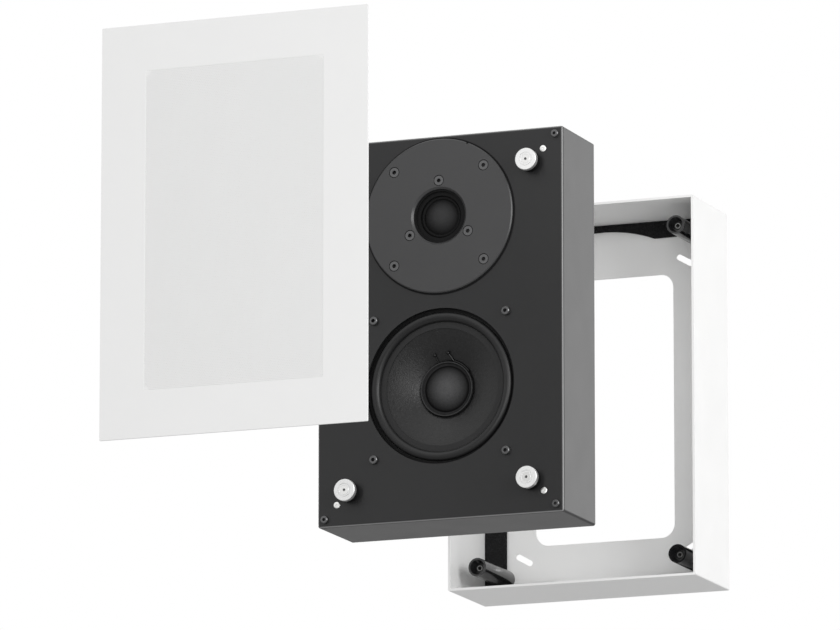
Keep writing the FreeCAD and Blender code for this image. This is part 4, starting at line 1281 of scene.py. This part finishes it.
@dataclass
class Studio:
    """The floor, the soft light, the white ground and the camera; lengths in metres, angles in degrees.

    The camera shows scale pixels for each millimetre at the middle, which lies at a spot of the picture.
    """

    middle: Place = (0.0, FRONT * MM, 0.0)
    distance: float = 7.0
    yaw: float = 21.5
    rise: float = -11.5
    scale: float = 1.232
    spot: Point = (440.0, 327.0)
    picture: Point = (840.0, 630.0)
    sensor_mm: float = 36.0
    sight: float = 100.0
    floor_z: float = -6.5
    floor_half: float = 90.0
    ambient: float = 0.53
    lamps: tuple[Lamp, ...] = (
        Lamp("key_lamp", (-0.64, -2.3, 2.46), 2.8, 12.0),
        Lamp("fill_lamp", (2.2, -6.6, -0.3), 4.0, 146.0),
        Lamp("right_lamp", (2.26, -1.55, 0.52), 1.2, 35.0),
        Lamp("rear_lamp", (1.15, 2.2, 0.5), 1.2, 5.0),
        Lamp("rear_fill_lamp", (-1.7, 2.6, 0.9), 1.6, 38.0),
    )

    def build(self) -> None:
        """Builds the whole stage."""
        bpy.context.scene.view_settings.view_transform = "Standard"
        self.build_floor()
        self.build_ground()
        for lamp in self.lamps:
            lamp.build(Vector(self.middle))
        self.build_camera()

    def build_floor(self) -> None:
        """Builds a wide pale floor."""
        shape = bmesh.new()
        bmesh.ops.create_grid(shape, x_segments=12, y_segments=12, size=self.floor_half)
        bmesh.ops.translate(shape, verts=shape.verts, vec=(0.0, 0.0, self.floor_z))
        mesh = bpy.data.meshes.new("studio_floor")
        shape.to_mesh(mesh)
        shape.free()
        paint = Finish("studio_floor_paint", "white_paint", (0.86, 0.86, 0.86), 0.7, Grain.POWDER, 3.0, 0.02,
                       mottle=0.01)
        mesh.materials.append(Coat(paint).material)
        floor = bpy.data.objects.new("studio_floor", mesh)
        bpy.context.scene.collection.objects.link(floor)

    def build_ground(self) -> None:
        """Makes the surroundings white to the eye and to gloss, and a plain level of light to the rest."""
        world = bpy.data.worlds.new("white_ground")
        world.use_nodes = True
        bpy.context.scene.world = world
        writer = NodeWriter(world.node_tree)
        path = writer.add("ShaderNodeLightPath").outputs
        glossy = writer.maths("MAXIMUM", path["Is Glossy Ray"], path["Is Transmission Ray"])
        seen = writer.maths("MAXIMUM", path["Is Camera Ray"], glossy)
        level = writer.add("ShaderNodeMapRange", {"Value": seen, "To Min": self.ambient, "To Max": 1.0})
        ground = world.node_tree.nodes["Background"]
        writer.feed(ground.inputs["Color"], (1.0, 1.0, 1.0, 1.0))
        writer.feed(ground.inputs["Strength"], level.outputs["Result"])

    def build_camera(self) -> None:
        """Builds the camera at the photograph's angle."""
        yaw, rise = math.radians(self.yaw), math.radians(self.rise)
        away = Vector((math.sin(yaw) * math.cos(rise), -math.cos(yaw) * math.cos(rise), math.sin(rise)))
        right = Vector((math.cos(yaw), math.sin(yaw), 0.0))
        up = right.cross(-away)
        middle = Vector(self.middle)
        aim = middle - right * ((self.spot[0] - self.picture[0] / 2) / self.scale * MM)
        aim += up * ((self.spot[1] - self.picture[1] / 2) / self.scale * MM)
        data = bpy.data.cameras.new("photo_camera")
        data.sensor_width = self.sensor_mm
        data.lens = self.scale / MM * self.distance * self.sensor_mm / self.picture[0]
        data.clip_end = self.sight
        camera = bpy.data.objects.new("photo_camera", data)
        camera.location = middle + away * self.distance
        camera.rotation_euler = (aim - camera.location).to_track_quat("-Z", "Y").to_euler()
        bpy.context.scene.collection.objects.link(camera)
        bpy.context.scene.camera = camera


def main() -> None:
    """Builds the loudspeaker's pieces and the stage in order."""
    logging.basicConfig(level=logging.INFO, format="%(message)s")
    Studio().build()
    PALETTE.dress_nodes()
    for part in (Grille(), GrilleMagnets(), Fasteners(), *SHADOW_STRIPS, Woofer(), FoamGasket(),
                 DampingPad()):
        part.build()
        LOG.info("finished %s", type(part).__name__)


if __name__ == "__main__":
    main()
